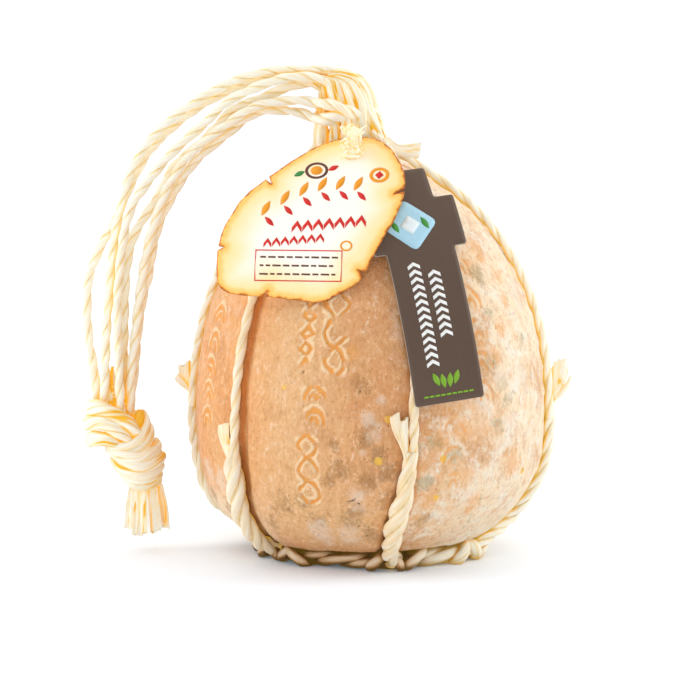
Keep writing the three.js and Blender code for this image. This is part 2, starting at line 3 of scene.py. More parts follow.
import bpy
import numpy as np
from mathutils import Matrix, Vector
from mathutils.geometry import delaunay_2d_cdt


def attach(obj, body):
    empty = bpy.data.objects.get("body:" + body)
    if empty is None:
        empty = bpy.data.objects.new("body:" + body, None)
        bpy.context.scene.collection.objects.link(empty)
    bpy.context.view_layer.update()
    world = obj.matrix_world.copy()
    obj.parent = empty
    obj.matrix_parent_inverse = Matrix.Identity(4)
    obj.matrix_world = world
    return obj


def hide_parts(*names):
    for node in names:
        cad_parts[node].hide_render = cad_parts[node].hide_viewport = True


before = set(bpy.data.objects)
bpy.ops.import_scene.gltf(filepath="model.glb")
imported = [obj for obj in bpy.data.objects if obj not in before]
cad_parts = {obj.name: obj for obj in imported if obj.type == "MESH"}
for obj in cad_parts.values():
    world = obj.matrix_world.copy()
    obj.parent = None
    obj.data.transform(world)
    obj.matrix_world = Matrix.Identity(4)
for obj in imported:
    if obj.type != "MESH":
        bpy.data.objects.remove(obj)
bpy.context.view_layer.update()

MM = 0.001
DEGREE = math.pi / 180
TURN = 2 * math.pi
RIGHT = np.array([1.0, 0.0, 0.0])
UP = np.array([0.0, 0.0, 1.0])

# The camera, 2.2 m away and 9 degrees above the horizon
CAMERA_PLACE = (-0.01507, -2.1729, 0.4470)
CAMERA_TARGET = (-0.01507, 0.0, 0.10284)
CAMERA_LENS = 239.65
CAMERA_SENSOR = 36.0

# The cheese, as in the part
CHEESE_RADIUS = 85.0
WIDEST_Z = 72.0
TOP_Z = 195.0
ROUNDING_BELOW_FLOOR = 1.5
LOWER_FULLNESS = 0.769
UPPER_FULLNESS = 0.909
SHOULDER_SLOPE = 1.2
LEAN = -7.0
LEAN_LATENESS = 8
SAG_X, SAG_Z, SAG_HALF_HEIGHT = -2.4, 22.0, 24.0
SWELL = 1.1
CHEESE_COLUMNS = 560
CHEESE_ROWS = 330

# The net's six cords, as in the part: azimuths in degrees at the top, over the lower half and at
# the ring, the groove's depth and how far aside it lies, and where the tail leaves and to which side
NET = {
    "left": dict(top=-90, foot=-98, knot=-118, groove=1.9, side=0, tail_z=77, aside=-1),
    "left_front": dict(top=-48.5, foot=-51.5, knot=-61, groove=3.2, side=2.8, tail_z=57, aside=-1),
    "front": dict(top=17.5, foot=9.5, knot=9, groove=2.0, side=0, tail_z=62, aside=-1),
    "right": dict(top=86, foot=83, knot=58, groove=1.3, side=0, tail_z=76, aside=1),
    "back_right": dict(top=142, foot=139, knot=137, groove=2.0, side=0, tail_z=66, aside=1),
    "back_left": dict(top=201, foot=202, knot=200, groove=2.2, side=0, tail_z=72, aside=-1),
}
TWINE_RADIUS = 2.45
GAP = 0.35
OFF_RIND = 0.25
GROOVE_HALF_WIDTH = 8.0
NET_LEAVES_RIND = 64 * DEGREE
NET_SAMPLES = 60
# Of a doubled stretch: half of how thick it is, how long one turn is, how deep its plies are set and how far
# in from the net's own line it lies
ROPES = {
    "left": (3.5, 34.0, 0.5, 2.6),
    "left_front": (4.6, 40.0, 0.45, 1.1),
    "front": (4.7, 38.0, 0.45, 1.1),
    "right": (3.4, 30.0, 0.5, 2.8),
    "back_right": (4.3, 42.0, 0.42, 1.1),
    "back_left": (4.3, 42.0, 0.42, 1.1),
}
TWIST_ENDS_OVER = 11 * DEGREE
# The flat free ends: how far to the cord's right and out of the rind each one's tip lies, how long it
# is, how wide along its length, and whether it lies on the rind or stands edge on to it
STRIPS = {
    "left": [
        (-1, 6.5, 9, [1.0, 1.8, 2.4, 1.9], False),
        (0, 3.0, 11, [1.0, 1.6, 1.8, 1.4], False),
        (1, 9, 5, [0.8, 1.4, 1.8, 1.2], False),
    ],
    "left_front": [
        (-7.4, 1.2, 12.5, [1.6, 2.6, 3.8, 4.3], True),
        (-10.6, 0.8, 11, [0.8, 1.0, 1.3, 0.9], True),
    ],
    "front": [
        (-9.0, 1.6, 18, [1.0, 1.6, 2.4, 2.5], True),
        (-4.6, 1.2, 15.5, [1.0, 1.7, 2.3, 2.3], True),
    ],
    "right": [
        (1, 7.0, 18, [1.4, 2.4, 3.6, 4.2, 3.0], False),
        (2, 11.0, 10, [0.8, 1.6, 1.4, 0.5], False),
    ],
}
for cord_name, side in (("back_right", 1), ("back_left", -1)):
    STRIPS[cord_name] = [
        (8 * side, 1.6, 17, [1.0, 1.6, 2.4, 2.5], True),
        (4.6 * side, 1.2, 15, [1.0, 1.7, 2.3, 2.3], True),
    ]
STRIP_ASIDE = 1.6
STRIP_STARTS = 8.0  # before the cord's halves part
STRIP_THICKNESS = 1.3
SINGLE_ASIDE = 1.5  # how far the single twine starts from the doubled stretch's middle
SINGLE_STARTS = 14.0  # before the cord's halves part
CORD_CIRCLE = 12.2  # where the cords enter the binding

# The ring
RING_X = 2.0
RING_OFF_CHEESE = 2.5
RING_RADIUS = 48.0
RING_HALF_HEIGHT = 4.35
RING_FOOT_OFF = 11.0
RING_DENT = 5.0
DENT_HALF_WIDTH = 9.5

# The binding
BINDING_X = -11.5
BINDING_Z = 203.0
BINDING_TOP_Z = 221.4
BINDING_HEAD = (11.5, 8.0)
WRAP_Z = 213.0
WRAP_TILT = -9 * DEGREE
WRAP_APART = 2.9
BUNDLE_HALF_THICKNESS = 2.7
WRAP_RADIUS = 3.0
CORE_RADIUS = 9.0
NEARER_BEHIND = -0.92
# The gathered cords at its front, with half of how wide each is along its length. Those at its back are
# their mirror images, a little nearer to the middle.
BINDING_BUNDLES = [
    ([
        [4.6, -6, 197], [3, -8, 202.5], [1, -9, 208.5], [-1.4, -8, 215], [-2.4, -6.4, 220],
        [-4, -4.6, 225], [-7, -3.2, 229.2], [-11, -2.6, 231.8], [-16, -2, 233], [-24, -1, 233.8],
    ], [3.4, 4.2, 4.2, 4.0, 3.4, 2.4, 0.8]),
    ([
        [6.6, 0, 197], [4.6, 0, 204], [1.8, 0, 212], [-0.2, 0, 219], [-1.8, 0, 224], [-5, 0, 228.8],
        [-10, 0, 231.6], [-18, 0, 233],
    ], [3.2, 3.6, 3.4, 3.0, 2.4, 0.8]),
    ([
        [-3.6, -12, 204], [-4.6, -12.2, 210], [-4.8, -10.6, 216], [-5.6, -8.4, 221],
        [-7.4, -6.8, 225.4], [-10, -5.4, 229], [-14.5, -4.8, 231.4], [-21, -4.4, 232],
    ], [2.6, 3.2, 3.2, 2.8, 2.0, 0.8]),
    ([
        [-8.4, -11.5, 209], [-8.6, -11, 215], [-9.8, -9.4, 220], [-11.2, -7.6, 224.4],
        [-13.6, -6, 228.4], [-18, -5, 230.8],
    ], [2.4, 2.8, 2.6, 2.2, 0.8]),
    ([
        [-17.2, -9.6, 214], [-18, -8.2, 220.5], [-19, -7, 225], [-20.6, -6, 228.6], [-25, -5, 230.6],
    ], [2.2, 2.6, 2.4, 0.8]),
    ([
        [-13.4, -10, 214], [-14.6, -8.4, 220.5], [-15.6, -7, 225], [-17, -6, 228.6],
        [-21.5, -5, 230.8],
    ], [2.2, 2.4, 2.2, 0.8]),
    ([[-12, -11.4, 199], [-12, -12.6, 205], [-12, -13.6, 210], [-12, -12.6, 215]], [2.6, 3.2, 2.8, 1.6]),
    ([[-17.6, -10.8, 198], [-17.6, -11.8, 204], [-17.2, -12, 211]], [2.4, 2.8, 2.0]),
    ([[-23.4, -7.6, 197], [-23.4, -9, 203], [-22.8, -9, 210.5]], [2.4, 2.8, 2.4]),
    ([[-5.6, -10.6, 198], [-6.2, -12.2, 204], [-7.2, -12, 211]], [2.6, 3.0, 2.4]),
    ([[-0.2, -9.4, 198], [-1.4, -10.4, 204], [-3, -10, 211]], [2.4, 2.8, 2.2]),
    ([
        [-25.6, -2.6, 197], [-25, -3.2, 206], [-23.6, -3.4, 214], [-22.8, -3.4, 221],
        [-23.4, -3.4, 226.4], [-28, -3.4, 229.4],
    ], [2.6, 3.2, 3.2, 2.6, 0.8]),
]

# The free strands' routes from the binding to the knot, as in the part
STRANDS = [
    [
        [-3.5, 0, 222.5], [-4.5, 0, 226.5], [-8.5, 0, 230.5], [-14.5, 0.2, 233], [-22.5, 0.2, 234.5],
        [-34.5, 0.2, 234.5], [-50.5, 0, 233.5], [-66.5, -0.2, 229], [-86, -0.6, 218],
        [-104, -0.8, 203.5], [-115, -1, 187.5], [-120, -1.4, 171.5], [-124, -1.8, 153.5],
        [-126, -2.2, 133], [-128, -3, 112], [-129, -3.8, 87.5], [-129.5, -4.4, 72.2],
    ],
    [
        [-9.5, 5.2, 222.5], [-11.5, 5.2, 226.5], [-16, 5.4, 230], [-21.5, 5.4, 231.5],
        [-29, 5.4, 232.5], [-42.5, 5.4, 232], [-58.5, 5.4, 228.5], [-76, 5.4, 220.5],
        [-92.5, 5.4, 209.5], [-107.5, 5.4, 194.5], [-118.5, 5.4, 173.5], [-124.5, 5.2, 160],
        [-130, 5.2, 150.5], [-136.5, 4.8, 135], [-138, 4.6, 120], [-137, 4.2, 102], [-135, 4, 89.5],
        [-133.5, 3.6, 72.2],
    ],
    [
        [-16, -4, 223], [-18, -4.2, 226.5], [-22.5, -4.6, 230], [-29, -4.8, 231.5], [-38.5, -5, 231.5],
        [-54.5, -5, 227], [-70.5, -5, 218.5], [-80, -5, 209.5], [-96, -5.2, 195],
        [-106.5, -5.4, 182.5], [-115.5, -5.6, 169], [-120, -6, 150], [-122.5, -6.4, 124.5],
        [-122.5, -6.6, 112], [-122, -6.8, 87.5], [-121.5, -7, 72.2],
    ],
    [
        [-20.5, 1.6, 223.7], [-23.5, 1.8, 226], [-28.5, 1.8, 228], [-35.5, 2, 227.5],
        [-46.5, 2.2, 223.5], [-57.5, 2.2, 219], [-66.5, 2.4, 215], [-80.5, 2.4, 200.5],
        [-94.5, 2.4, 188], [-103, 2.2, 173], [-114.5, 2, 154.5], [-118.5, 1.8, 138],
        [-119.5, 1.4, 120.5], [-120, 1.2, 103], [-121, 0.8, 72.2],
    ],
    [
        [-27, -8, 219.5], [-32, -7.8, 220.5], [-38.5, -7.6, 220.5], [-54.5, -7.2, 218],
        [-72, -6.8, 207], [-88, -6.2, 194], [-98, -5.8, 178.5], [-105, -5.4, 159.5],
        [-109.5, -4.8, 141.5], [-112, -4.4, 124.5], [-115, -4.2, 100], [-116.5, -3.8, 87.5],
        [-117, -3.4, 72.2],
    ],
    [
        [-28, -6, 212], [-33, -4.8, 214], [-38.5, -3.6, 215], [-54.5, -2.6, 214.5],
        [-70, -1.8, 203.5], [-86, -1, 189], [-97.5, 0, 171], [-103.5, 0.8, 157],
        [-108.5, 1.6, 132.5], [-111, 2.4, 122.5], [-114, 3.2, 100], [-115.5, 4, 85], [-117, 4.8, 72.2],
    ],
]
# Where each strand comes from in the binding: the last two cross its front
STRAND_ROOTS = [
    [[-4, 0, 216]], [[-9, 4.6, 216]], [[-14, -3.4, 216]], [[-18.5, 1, 218]],
    [[-3, -6, 211.5], [-7.5, -12, 213.8], [-13.5, -14.2, 217.2], [-19, -13.4, 219], [-23.6, -11, 219.6]],
    [[-9, -9, 212], [-14.5, -13, 213.2], [-20, -12.8, 212.4], [-24.6, -10, 212]],
]
STRAND_INTO_KNOT = 9.0

# The knot at the strands' end: height, middle along X, half sizes along X and Y, as in the part
KNOT_BODY = [
    (90, -125.6, 1.0, 1.0), (83, -125.4, 2.6, 3.2), (77, -124.6, 6.4, 6.0), (71.6, -124.5, 10.4, 8.6),
    (67, -121.8, 10.4, 9.5), (57.6, -116, 11.8, 11.5), (49.7, -114.5, 14.3, 12.5),
    (44.3, -113.5, 14.8, 12.5), (39.9, -113, 12.9, 11.5), (33.5, -111.3, 10.2, 9.0),
    (29.6, -109.4, 7.8, 5.5),
]
KNOT_CORE = 0.78  # of its half sizes: the rest is the bundles round it
KNOT_DRAWN_IN = 2.0  # the bands' right ends
# The bends of the strands at its left, and half of how wide they are along their length
KNOT_BEND_WIDTHS = [2.4, 3.4, 4.1, 4.2, 3.9, 3.4, 2.4]
KNOT_BENDS = [
    [
        [-124, 7, 67.5], [-131, 5, 69.5], [-136.2, -1.5, 70.2], [-134.6, -7, 70.6], [-131, -10, 70.5],
        [-127, -11.5, 69.5], [-122, -12, 67.5], [-117.5, -12.5, 64.5], [-114.5, -11.5, 61],
        [-112.5, -9, 58.5],
    ],
    [
        [-124, 7.5, 60], [-132, 5, 62.5], [-137.6, -2, 62.8], [-135.4, -8, 63.6], [-131, -11, 64.2],
        [-127, -12, 63], [-122.5, -12.5, 60.5], [-119, -12.5, 58], [-117, -11, 56],
    ],
    [
        [-122, 7.5, 51], [-130, 5.5, 53.5], [-136, -1.5, 54], [-134, -8, 55.6], [-131, -10.5, 55.8],
        [-127.5, -12, 55.5], [-124, -12, 54], [-121, -11, 52.5],
    ],
]
# The bands that sweep over its front, with half of how wide each is along its length. Those at its
# back are their mirror images, a little nearer to the middle and higher.
KNOT_NEARER_BEHIND = -0.95
KNOT_HIGHER_BEHIND = 1.2
KNOT_BANDS = [
    ([
        [-109, 1, 66.5], [-107.8, -4, 65], [-107.6, -8, 61.5], [-109.5, -11, 57.5], [-113, -12.7, 54.8],
        [-117.5, -13, 53.2], [-122, -12.3, 52.6], [-125.5, -10.5, 52], [-128, -7, 52],
    ], [1.4, 2.4, 2.8, 3.0, 2.8, 1.6]),
    ([
        [-107, 3, 62], [-106.2, -1, 61], [-105.2, -5.5, 58.5], [-106.3, -9.5, 55], [-109.5, -12.2, 52.5],
        [-113.8, -13.6, 51.2], [-118, -13.2, 51],
    ], [1.2, 2.4, 2.8, 2.2, 0.8]),
    ([
        [-103, 4, 53], [-101.8, -1.5, 51.5], [-103.5, -7, 50.2], [-107, -11.3, 48.8], [-112, -13.4, 47.6],
        [-117, -13.4, 48.3], [-122, -12.2, 49.4], [-125.7, -10, 50], [-128.2, -5, 50],
    ], [1.6, 2.8, 3.3, 3.4, 3.0, 1.4]),
    ([
        [-101, 5, 46.5], [-99.6, -0.5, 46], [-101.2, -6.5, 45], [-105.5, -11.2, 43.5], [-110.5, -13.2, 43],
        [-115.5, -12.9, 44], [-119.5, -11.4, 45.5], [-123.6, -9, 47.6], [-126, -5, 48.6],
    ], [1.6, 2.8, 3.2, 3.2, 2.6, 1.2]),
    ([
        [-101.8, 5, 42.5], [-100.4, 0, 41.5], [-102, -5.5, 40.4], [-105.5, -10.2, 39], [-110.5, -12.2, 38.9],
        [-115.5, -11.7, 40], [-119.5, -10.2, 41.6], [-123, -8.4, 44.4], [-125.4, -6, 47],
    ], [1.4, 2.4, 2.8, 2.9, 2.4, 1.2]),
    ([
        [-102.6, 4.5, 38], [-101.3, 0, 37.4], [-103, -5, 36.4], [-107, -9, 35.8], [-112, -10.6, 36.2],
        [-117, -9.8, 37.4], [-121, -8.2, 40], [-124.5, -6, 43], [-126, -3, 46],
    ], [1.4, 2.4, 2.9, 2.9, 2.2, 1.2]),
    ([
        [-103.4, 4, 34.4], [-101.8, 0, 34], [-104.2, -4.4, 33], [-109, -7.6, 32.8], [-113.5, -8.2, 33.4],
        [-118, -7, 35.2], [-121.8, -4.5, 38.4],
    ], [1.4, 2.6, 3.0, 2.8, 1.4]),
]
KNOT_HOLLOW = [[-112.2, -4, 68.6], [-112.6, -7.6, 65], [-113.6, -9, 58.5]]

# The ends that hang out of the knot, as in the part: where each starts and where its tip is
TASSEL = [
    [[-115.4, -2.2, 29.1], [-116.6, -4, 10.8]],
    [[-111.4, -3.6, 29.1], [-112.4, -6.4, 6.4]],
    [[-107.2, -3.2, 29.1], [-106, -5.4, 8.6]],
    [[-103.8, -1, 29.1], [-102, -1.2, 9.8]],
    [[-112.6, 2.6, 29.1], [-113.4, 3.4, 8.4]],
    [[-107, 3, 29.1], [-106, 4.6, 7.4]],
]

# The tags, as in the part: the top's place, turn, tilt and leans in degrees, length and thickness
PARCHMENT = dict(
    top=(-9.2, -34, 207.6), turn=-13, tilt=0, lean_top=49, lean_foot=5, length=92, thickness=0.9,
    slot="parchment",
)
PARCHMENT_OUTLINE = [
    [0, 3], [12.3, 3.8], [21, 10], [27, 19], [29.8, 28], [29.8, 36], [26.7, 47], [18.2, 65],
    [12.2, 77], [3.3, 82.7], [-4.7, 87], [-10, 87.4], [-30.4, 85.7], [-50.8, 84.5],
    [-55.6, 81], [-57, 70], [-56.2, 58], [-52.5, 48], [-45.7, 36.4], [-36.5, 27.6], [-19, 12],
    [-8.8, 5.6],
]
PARCHMENT_HOLE = (2.6, 13.0)
PARCHMENT_HOLE_RADIUS = 2.8
# Burnt cuts in its edge: where, how deep and half as wide as they are at the edge
PARCHMENT_CUTS = [
    ((-36.5, 27.6), 3.8, 0.6), ((30.6, 32), 5.4, 0.5), ((14.4, 73), 3.8, 0.6), ((-34, 86.5), 3.8, 0.6),
    ((-57.4, 63), 3.0, 0.4),
]
CARD = dict(
    top=(11.8, -42.4, 190.2), turn=14, tilt=6.7, lean_top=42.7, lean_foot=4.3, length=120,
    thickness=0.8, slot="card",
)
CARD_OUTLINE = [
    [-13.4, 0], [13.4, 0], [13.4, 16.7], [23, 16.7], [23, 42.8], [16.8, 42.8], [16.8, 115.9],
    [-16.8, 115.9], [-16.8, 42.8], [-23, 42.8], [-23, 16.7], [-13.4, 16.7],
]
PARCHMENT_TIE = [[-9.6, -11, 205], [-9.4, -24, 207.4], [-9.0, -36, 208.4], [-8.4, -43.6, 206.4]]
CARD_TIE = [[0.4, -11.6, 206], [6, -22, 202.6], [10.6, -33, 197], [12.4, -38.5, 191.5]]
BINDING_END = [[6.4, -7, 201.6], [12, -10, 197.4], [22.8, -13, 196.8]]


# --- Numbers ---------------------------------------------------------------------------------


def ease(share):
    share = np.clip(share, 0, 1)
    return share * share * (3 - 2 * share)


def mix(a, b, share):
    return a + (b - a) * share


def hollow(away, half_width):
    """A smooth hump, 1 at the middle and 0 from half its width outwards."""
    return np.cos(math.pi / 2 * np.clip(away / half_width, -1, 1)) ** 2


def peak(value, width):
    """1 where the value is 0, and less on both sides of it."""
    return np.exp(-((value / width) ** 2))


def circle(count):
    """Angles evenly round a turn."""
    return np.arange(count) / count * TURN


def xyz(x, y, z):
    """Places from their coordinates, each an array or one number."""
    return np.stack(np.broadcast_arrays(x, y, z), -1)


def wrap(angle):
    return (angle + math.pi) % TURN - math.pi


def unit(vectors):
    return vectors / np.maximum(np.linalg.norm(vectors, axis=-1, keepdims=True), 1e-9)


def noise(points, size, seed):
    """Smooth noise from -1 to 1 at the points, its lumps as large as size."""
    lattice = np.random.default_rng(seed).uniform(-1, 1, (32, 32, 32))
    places = np.asarray(points, float) / size + 1000
    low = np.floor(places).astype(int)
    share = ease(places - low)
    total = 0
    for corner in range(8):
        step = np.array([corner & 1, corner >> 1 & 1, corner >> 2 & 1])
        weight = np.prod(np.where(step, share, 1 - share), axis=-1)
        i, j, k = np.moveaxis((low + step) % 32, -1, 0)
        total = total + weight * lattice[i, j, k]
    return total


def lengths(line):
    """How far along the line each of its points is."""
    return np.concatenate([[0], np.cumsum(np.linalg.norm(np.diff(line, axis=0), axis=1))])


def evenly(line, step):
    """The same line in even steps."""
    along = lengths(line)
    count = max(4, round(along[-1] / step))
    places = np.linspace(0, along[-1], count + 1)
    return np.stack([np.interp(places, along, line[:, k]) for k in range(line.shape[1])], 1)


def spread(values, line):
    """Values given evenly along a line, at each of its points."""
    share = lengths(line) / lengths(line)[-1]
    return np.interp(share, np.linspace(0, 1, len(values)), values)[:, None]


def curve_through(points, step=1.0, closed=False):
    """A smooth line through the points, in even steps."""
    given = np.array(points, float)
    if closed:
        given = np.concatenate([given[-1:], given, given[:2]])
    else:
        given = np.concatenate([[2 * given[0] - given[1]], given, [2 * given[-1] - given[-2]]])
    fine = []
    for a, b, c, d in zip(given, given[1:], given[2:], given[3:]):
        gaps = [max(np.linalg.norm(q - p) ** 0.5, 1e-3) for p, q in ((a, b), (b, c), (c, d))]
        t0, t1, t2, t3 = np.cumsum([0, *gaps])
        t = np.linspace(t1, t2, 17)[:-1, None]
        ab = (t1 - t) / (t1 - t0) * a + (t - t0) / (t1 - t0) * b
        bc = (t2 - t) / (t2 - t1) * b + (t - t1) / (t2 - t1) * c
        cd = (t3 - t) / (t3 - t2) * c + (t - t2) / (t3 - t2) * d
        abc = (t2 - t) / (t2 - t0) * ab + (t - t0) / (t2 - t0) * bc
        bcd = (t3 - t) / (t3 - t1) * bc + (t - t1) / (t3 - t1) * cd
        fine.append((t2 - t) / (t2 - t1) * abc + (t - t1) / (t2 - t1) * bcd)
    return evenly(np.concatenate([*fine, given[-2:-1]]), step)


def directions(line, side=None):
    """At each point of a line: onwards, to one side, and square to both."""
    onwards = unit(np.gradient(line, axis=0))
    if side is None:
        first = np.cross(onwards[0], UP if abs(onwards[0][2]) < 0.9 else RIGHT)
        sides = [first]
        for direction in onwards:
            turned = sides[-1] - direction * (sides[-1] @ direction)
            sides.append(turned / np.linalg.norm(turned))
        across = np.array(sides[1:])
    else:
        across = unit(side - onwards * (onwards @ side)[:, None])
    return onwards, across, np.cross(onwards, across)


# --- Meshes ----------------------------------------------------------------------------------


def tube(line, across, square, aside, out):
    """Rows of points round a line, so far aside and so far square to that."""
    return line[:, None] + across[:, None] * aside[..., None] + square[:, None] * out[..., None]


def skin(rings, **values):
    """Closed rows of points as a patch of faces with end caps, and values at its points."""
    rows, columns = rings.shape[:2]
    index = np.arange(rows * columns).reshape(rows, columns)
    after = np.roll(index, -1, axis=1)
    quads = np.stack([index[:-1], after[:-1], after[1:], index[1:]], -1)
    faces = quads.reshape(-1, 4).tolist() + [index[0][::-1].tolist(), index[-1].tolist()]
    named = {}
    for name, value in values.items():
        kind = np.shape(value)[2:]
        named[name] = np.broadcast_to(value, (rows, columns, *kind)).reshape(-1, *kind)
    return rings.reshape(-1, 3), faces, named


def join(patches):
    """Patches as one."""
    points, faces, values, start = [], [], {}, 0
    for patch_points, patch_faces, patch_values in patches:
        points.append(patch_points)
        faces += [[start + corner for corner in face] for face in patch_faces]
        for name, value in patch_values.items():
            values.setdefault(name, []).append(value)
        start += len(patch_points)
    return np.concatenate(points), faces, {name: np.concatenate(v) for name, v in values.items()}


def piece(name, patches, material, nodes=()):
    """Patches as one object that stands for the CAD nodes."""
    points, faces, values = join(patches)
    mesh = bpy.data.meshes.new(name)
    mesh.from_pydata((points * MM).tolist(), [], faces)
    for attribute, value in values.items():
        kind, field = ("FLOAT_VECTOR", "vector") if value.ndim > 1 else ("FLOAT", "value")
        mesh.attributes.new(attribute, kind, "POINT").data.foreach_set(field, value.ravel())
    mesh.polygons.foreach_set("use_smooth", np.ones(len(mesh.polygons), bool))
    mesh.materials.append(material)
    made = bpy.data.objects.new(name, mesh)
    bpy.context.scene.collection.objects.link(made)
    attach(made, "root")
    if nodes:
        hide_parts(*nodes)
    return made


# --- Materials -------------------------------------------------------------------------------


def colour(red, green, blue):
    """A screen colour, 0 to 255, as the shader's own numbers."""
    parts = [v / 255 for v in (red, green, blue)]
    return (*(v / 12.92 if v <= 0.04045 else ((v + 0.055) / 1.055) ** 2.4 for v in parts), 1.0)


class Look:
    """A procedural material that is put together node by node, one colour over another."""

    def __init__(self, name, roughness, **sockets):
        self.material = bpy.data.materials.new(name)
        self.material.use_nodes = True
        self.tree = self.material.node_tree
        self.shader = self.tree.nodes["Principled BSDF"]
        self.shader.inputs["Roughness"].default_value = roughness
        for socket, value in sockets.items():
            self.shader.inputs[socket.replace("_", " ")].default_value = value

    def node(self, kind, inputs, **settings):
        made = self.tree.nodes.new("ShaderNode" + kind)
        for name, value in settings.items():
            setattr(made, name, value)
        for key, value in inputs.items():
            if isinstance(value, bpy.types.NodeSocket):
                self.tree.links.new(value, made.inputs[key])
            else:
                made.inputs[key].default_value = value
        return made

    def value(self, name):
        return self.node("Attribute", {}, attribute_name=name).outputs["Fac"]

    def vector(self, name, stretch=(1, 1, 1)):
        source = self.node("Attribute", {}, attribute_name=name).outputs["Vector"]
        return self.node("VectorMath", {0: source, 1: stretch}, operation="MULTIPLY").outputs[0]

    def place(self, stretch=(1, 1, 1)):
        """The piece's own coordinates, in millimetres."""
        source = self.node("TexCoord", {}).outputs["Object"]
        scaled = tuple(v / MM for v in stretch)
        return self.node("VectorMath", {0: source, 1: scaled}, operation="MULTIPLY").outputs[0]

    def noise(self, where, size, detail=3.0, roughness=0.55, distortion=0.0):
        inputs = {
            "Vector": where, "Scale": 1 / size, "Detail": detail, "Roughness": roughness,
            "Distortion": distortion,
        }
        return self.node("TexNoise", inputs).outputs["Fac"]

    def cells(self, where, size):
        return self.node("TexVoronoi", {"Vector": where, "Scale": 1 / size}).outputs["Distance"]

    def open(self, distance):
        """How open the surface is to its surroundings, from 0 in a crevice to 1."""
        inputs = {"Distance": distance * MM}
        return self.node("AmbientOcclusion", inputs, samples=8).outputs["AO"]

    def range(self, value, low, high, to_low=0.0, to_high=1.0):
        inputs = {
            "Value": value, "From Min": low, "From Max": high, "To Min": to_low, "To Max": to_high,
        }
        return self.node("MapRange", inputs, interpolation_type="SMOOTHSTEP").outputs["Result"]

    def times(self, a, b):
        return self.node("Math", {0: a, 1: b}, operation="MULTIPLY").outputs[0]

    def plus(self, a, b):
        return self.node("Math", {0: a, 1: b}, operation="ADD").outputs[0]

    def blend(self, a, b, share):
        return self.node("Mix", {0: share, 6: a, 7: b}, data_type="RGBA").outputs[2]

    def coat(self, tint, share=None):
        """A screen colour over a share of what lies there so far. The first colour has no share."""
        self.base = colour(*tint) if share is None else self.blend(self.base, colour(*tint), share)

    def finish(self, height, bump, strength):
        self.tree.links.new(self.base, self.shader.inputs["Base Color"])
        inputs = {"Height": height, "Distance": bump * MM, "Strength": strength}
        normal = self.node("Bump", inputs).outputs["Normal"]
        self.tree.links.new(normal, self.shader.inputs["Normal"])
        return self.material


SHADED_FROM, SHADED_TO = -34, -12  # the ring's painted shade grows over this stretch, from right to left


def raffia_look(name="raffia", glow=0.3, crevice_shade=1.0, shade=0.0, tan=0.0, through=(0, 0, 0)):
    """Pale straw with streaks along its fibres, painted shade in gold and orange in its crevices and
    creases, and a painted glow there. A shaded one has painted shade in brown where it isn't open, stronger
    towards its left, and a tan one goes tan in patches. Through is the colour of the painted glow on its
    open parts."""
    look = Look(name, 0.62, Specular_IOR_Level=0.18, Emission_Strength=glow)
    fine = look.noise(look.vector("fibre", (1, 0.05, 1)), 0.35, detail=2.0)
    streaks = look.noise(look.vector("fibre", (1, 0.09, 1)), 0.9)
    patches = look.noise(look.vector("fibre", (0.2, 0.04, 1)), 1.0, detail=1.0)
    look.coat((255, 252, 238))
    look.coat((255, 241, 210), look.range(streaks, 0.35, 0.7))
    look.coat((253, 226, 176), look.range(patches, 0.55, 0.8, 0.0, 0.6))
    # Painted shade: gold and orange in the crevices, by how open the surface is
    look.coat((254, 216, 138), look.range(look.open(5.0), 0.78, 0.25, 0.0, crevice_shade))
    look.coat((255, 194, 44), look.range(look.open(2.5), 0.58, 0.2, 0.0, 0.9 * crevice_shade))
    # Painted shade in the creases and folds
    deep = look.times(look.value("crease"), look.range(patches, 0.3, 0.6, 0.55, 1.0))
    look.coat((254, 224, 142), look.range(deep, 0.1, 0.5, 0.0, 0.5))
    look.coat((254, 192, 44), look.range(deep, 0.5, 0.9, 0.0, crevice_shade))
    if tan:
        look.coat((238, 196, 132), look.range(patches, 0.3, 0.65, 0.4 * tan, tan))
    # Painted shade: brown where it isn't open, stronger towards the left
    if shade:
        inputs = {0: look.place(), 1: (-1, 0, 0)}
        left = look.node("VectorMath", inputs, operation="DOT_PRODUCT").outputs["Value"]
        share = look.range(left, SHADED_FROM, SHADED_TO, 0.1, shade)
        look.coat((206, 150, 82), look.times(look.range(look.open(9.0), 0.85, 0.45, 0.3, 1.0), share))
        look.coat((76, 42, 18), look.times(look.range(look.open(6.0), 0.78, 0.3), share))
    # Painted glow: emission that stands in for the light that comes through the raffia into its crevices
    light = look.blend(colour(*through), colour(238, 188, 40), look.range(look.open(4.0), 0.7, 0.2))
    look.tree.links.new(light, look.shader.inputs["Emission Color"])
    look.coat((250, 222, 172), look.range(fine, 0.45, 0.3, 0.0, 0.3))
    return look.finish(look.plus(look.times(streaks, 0.7), look.times(fine, 0.8)), 0.45, 0.8)


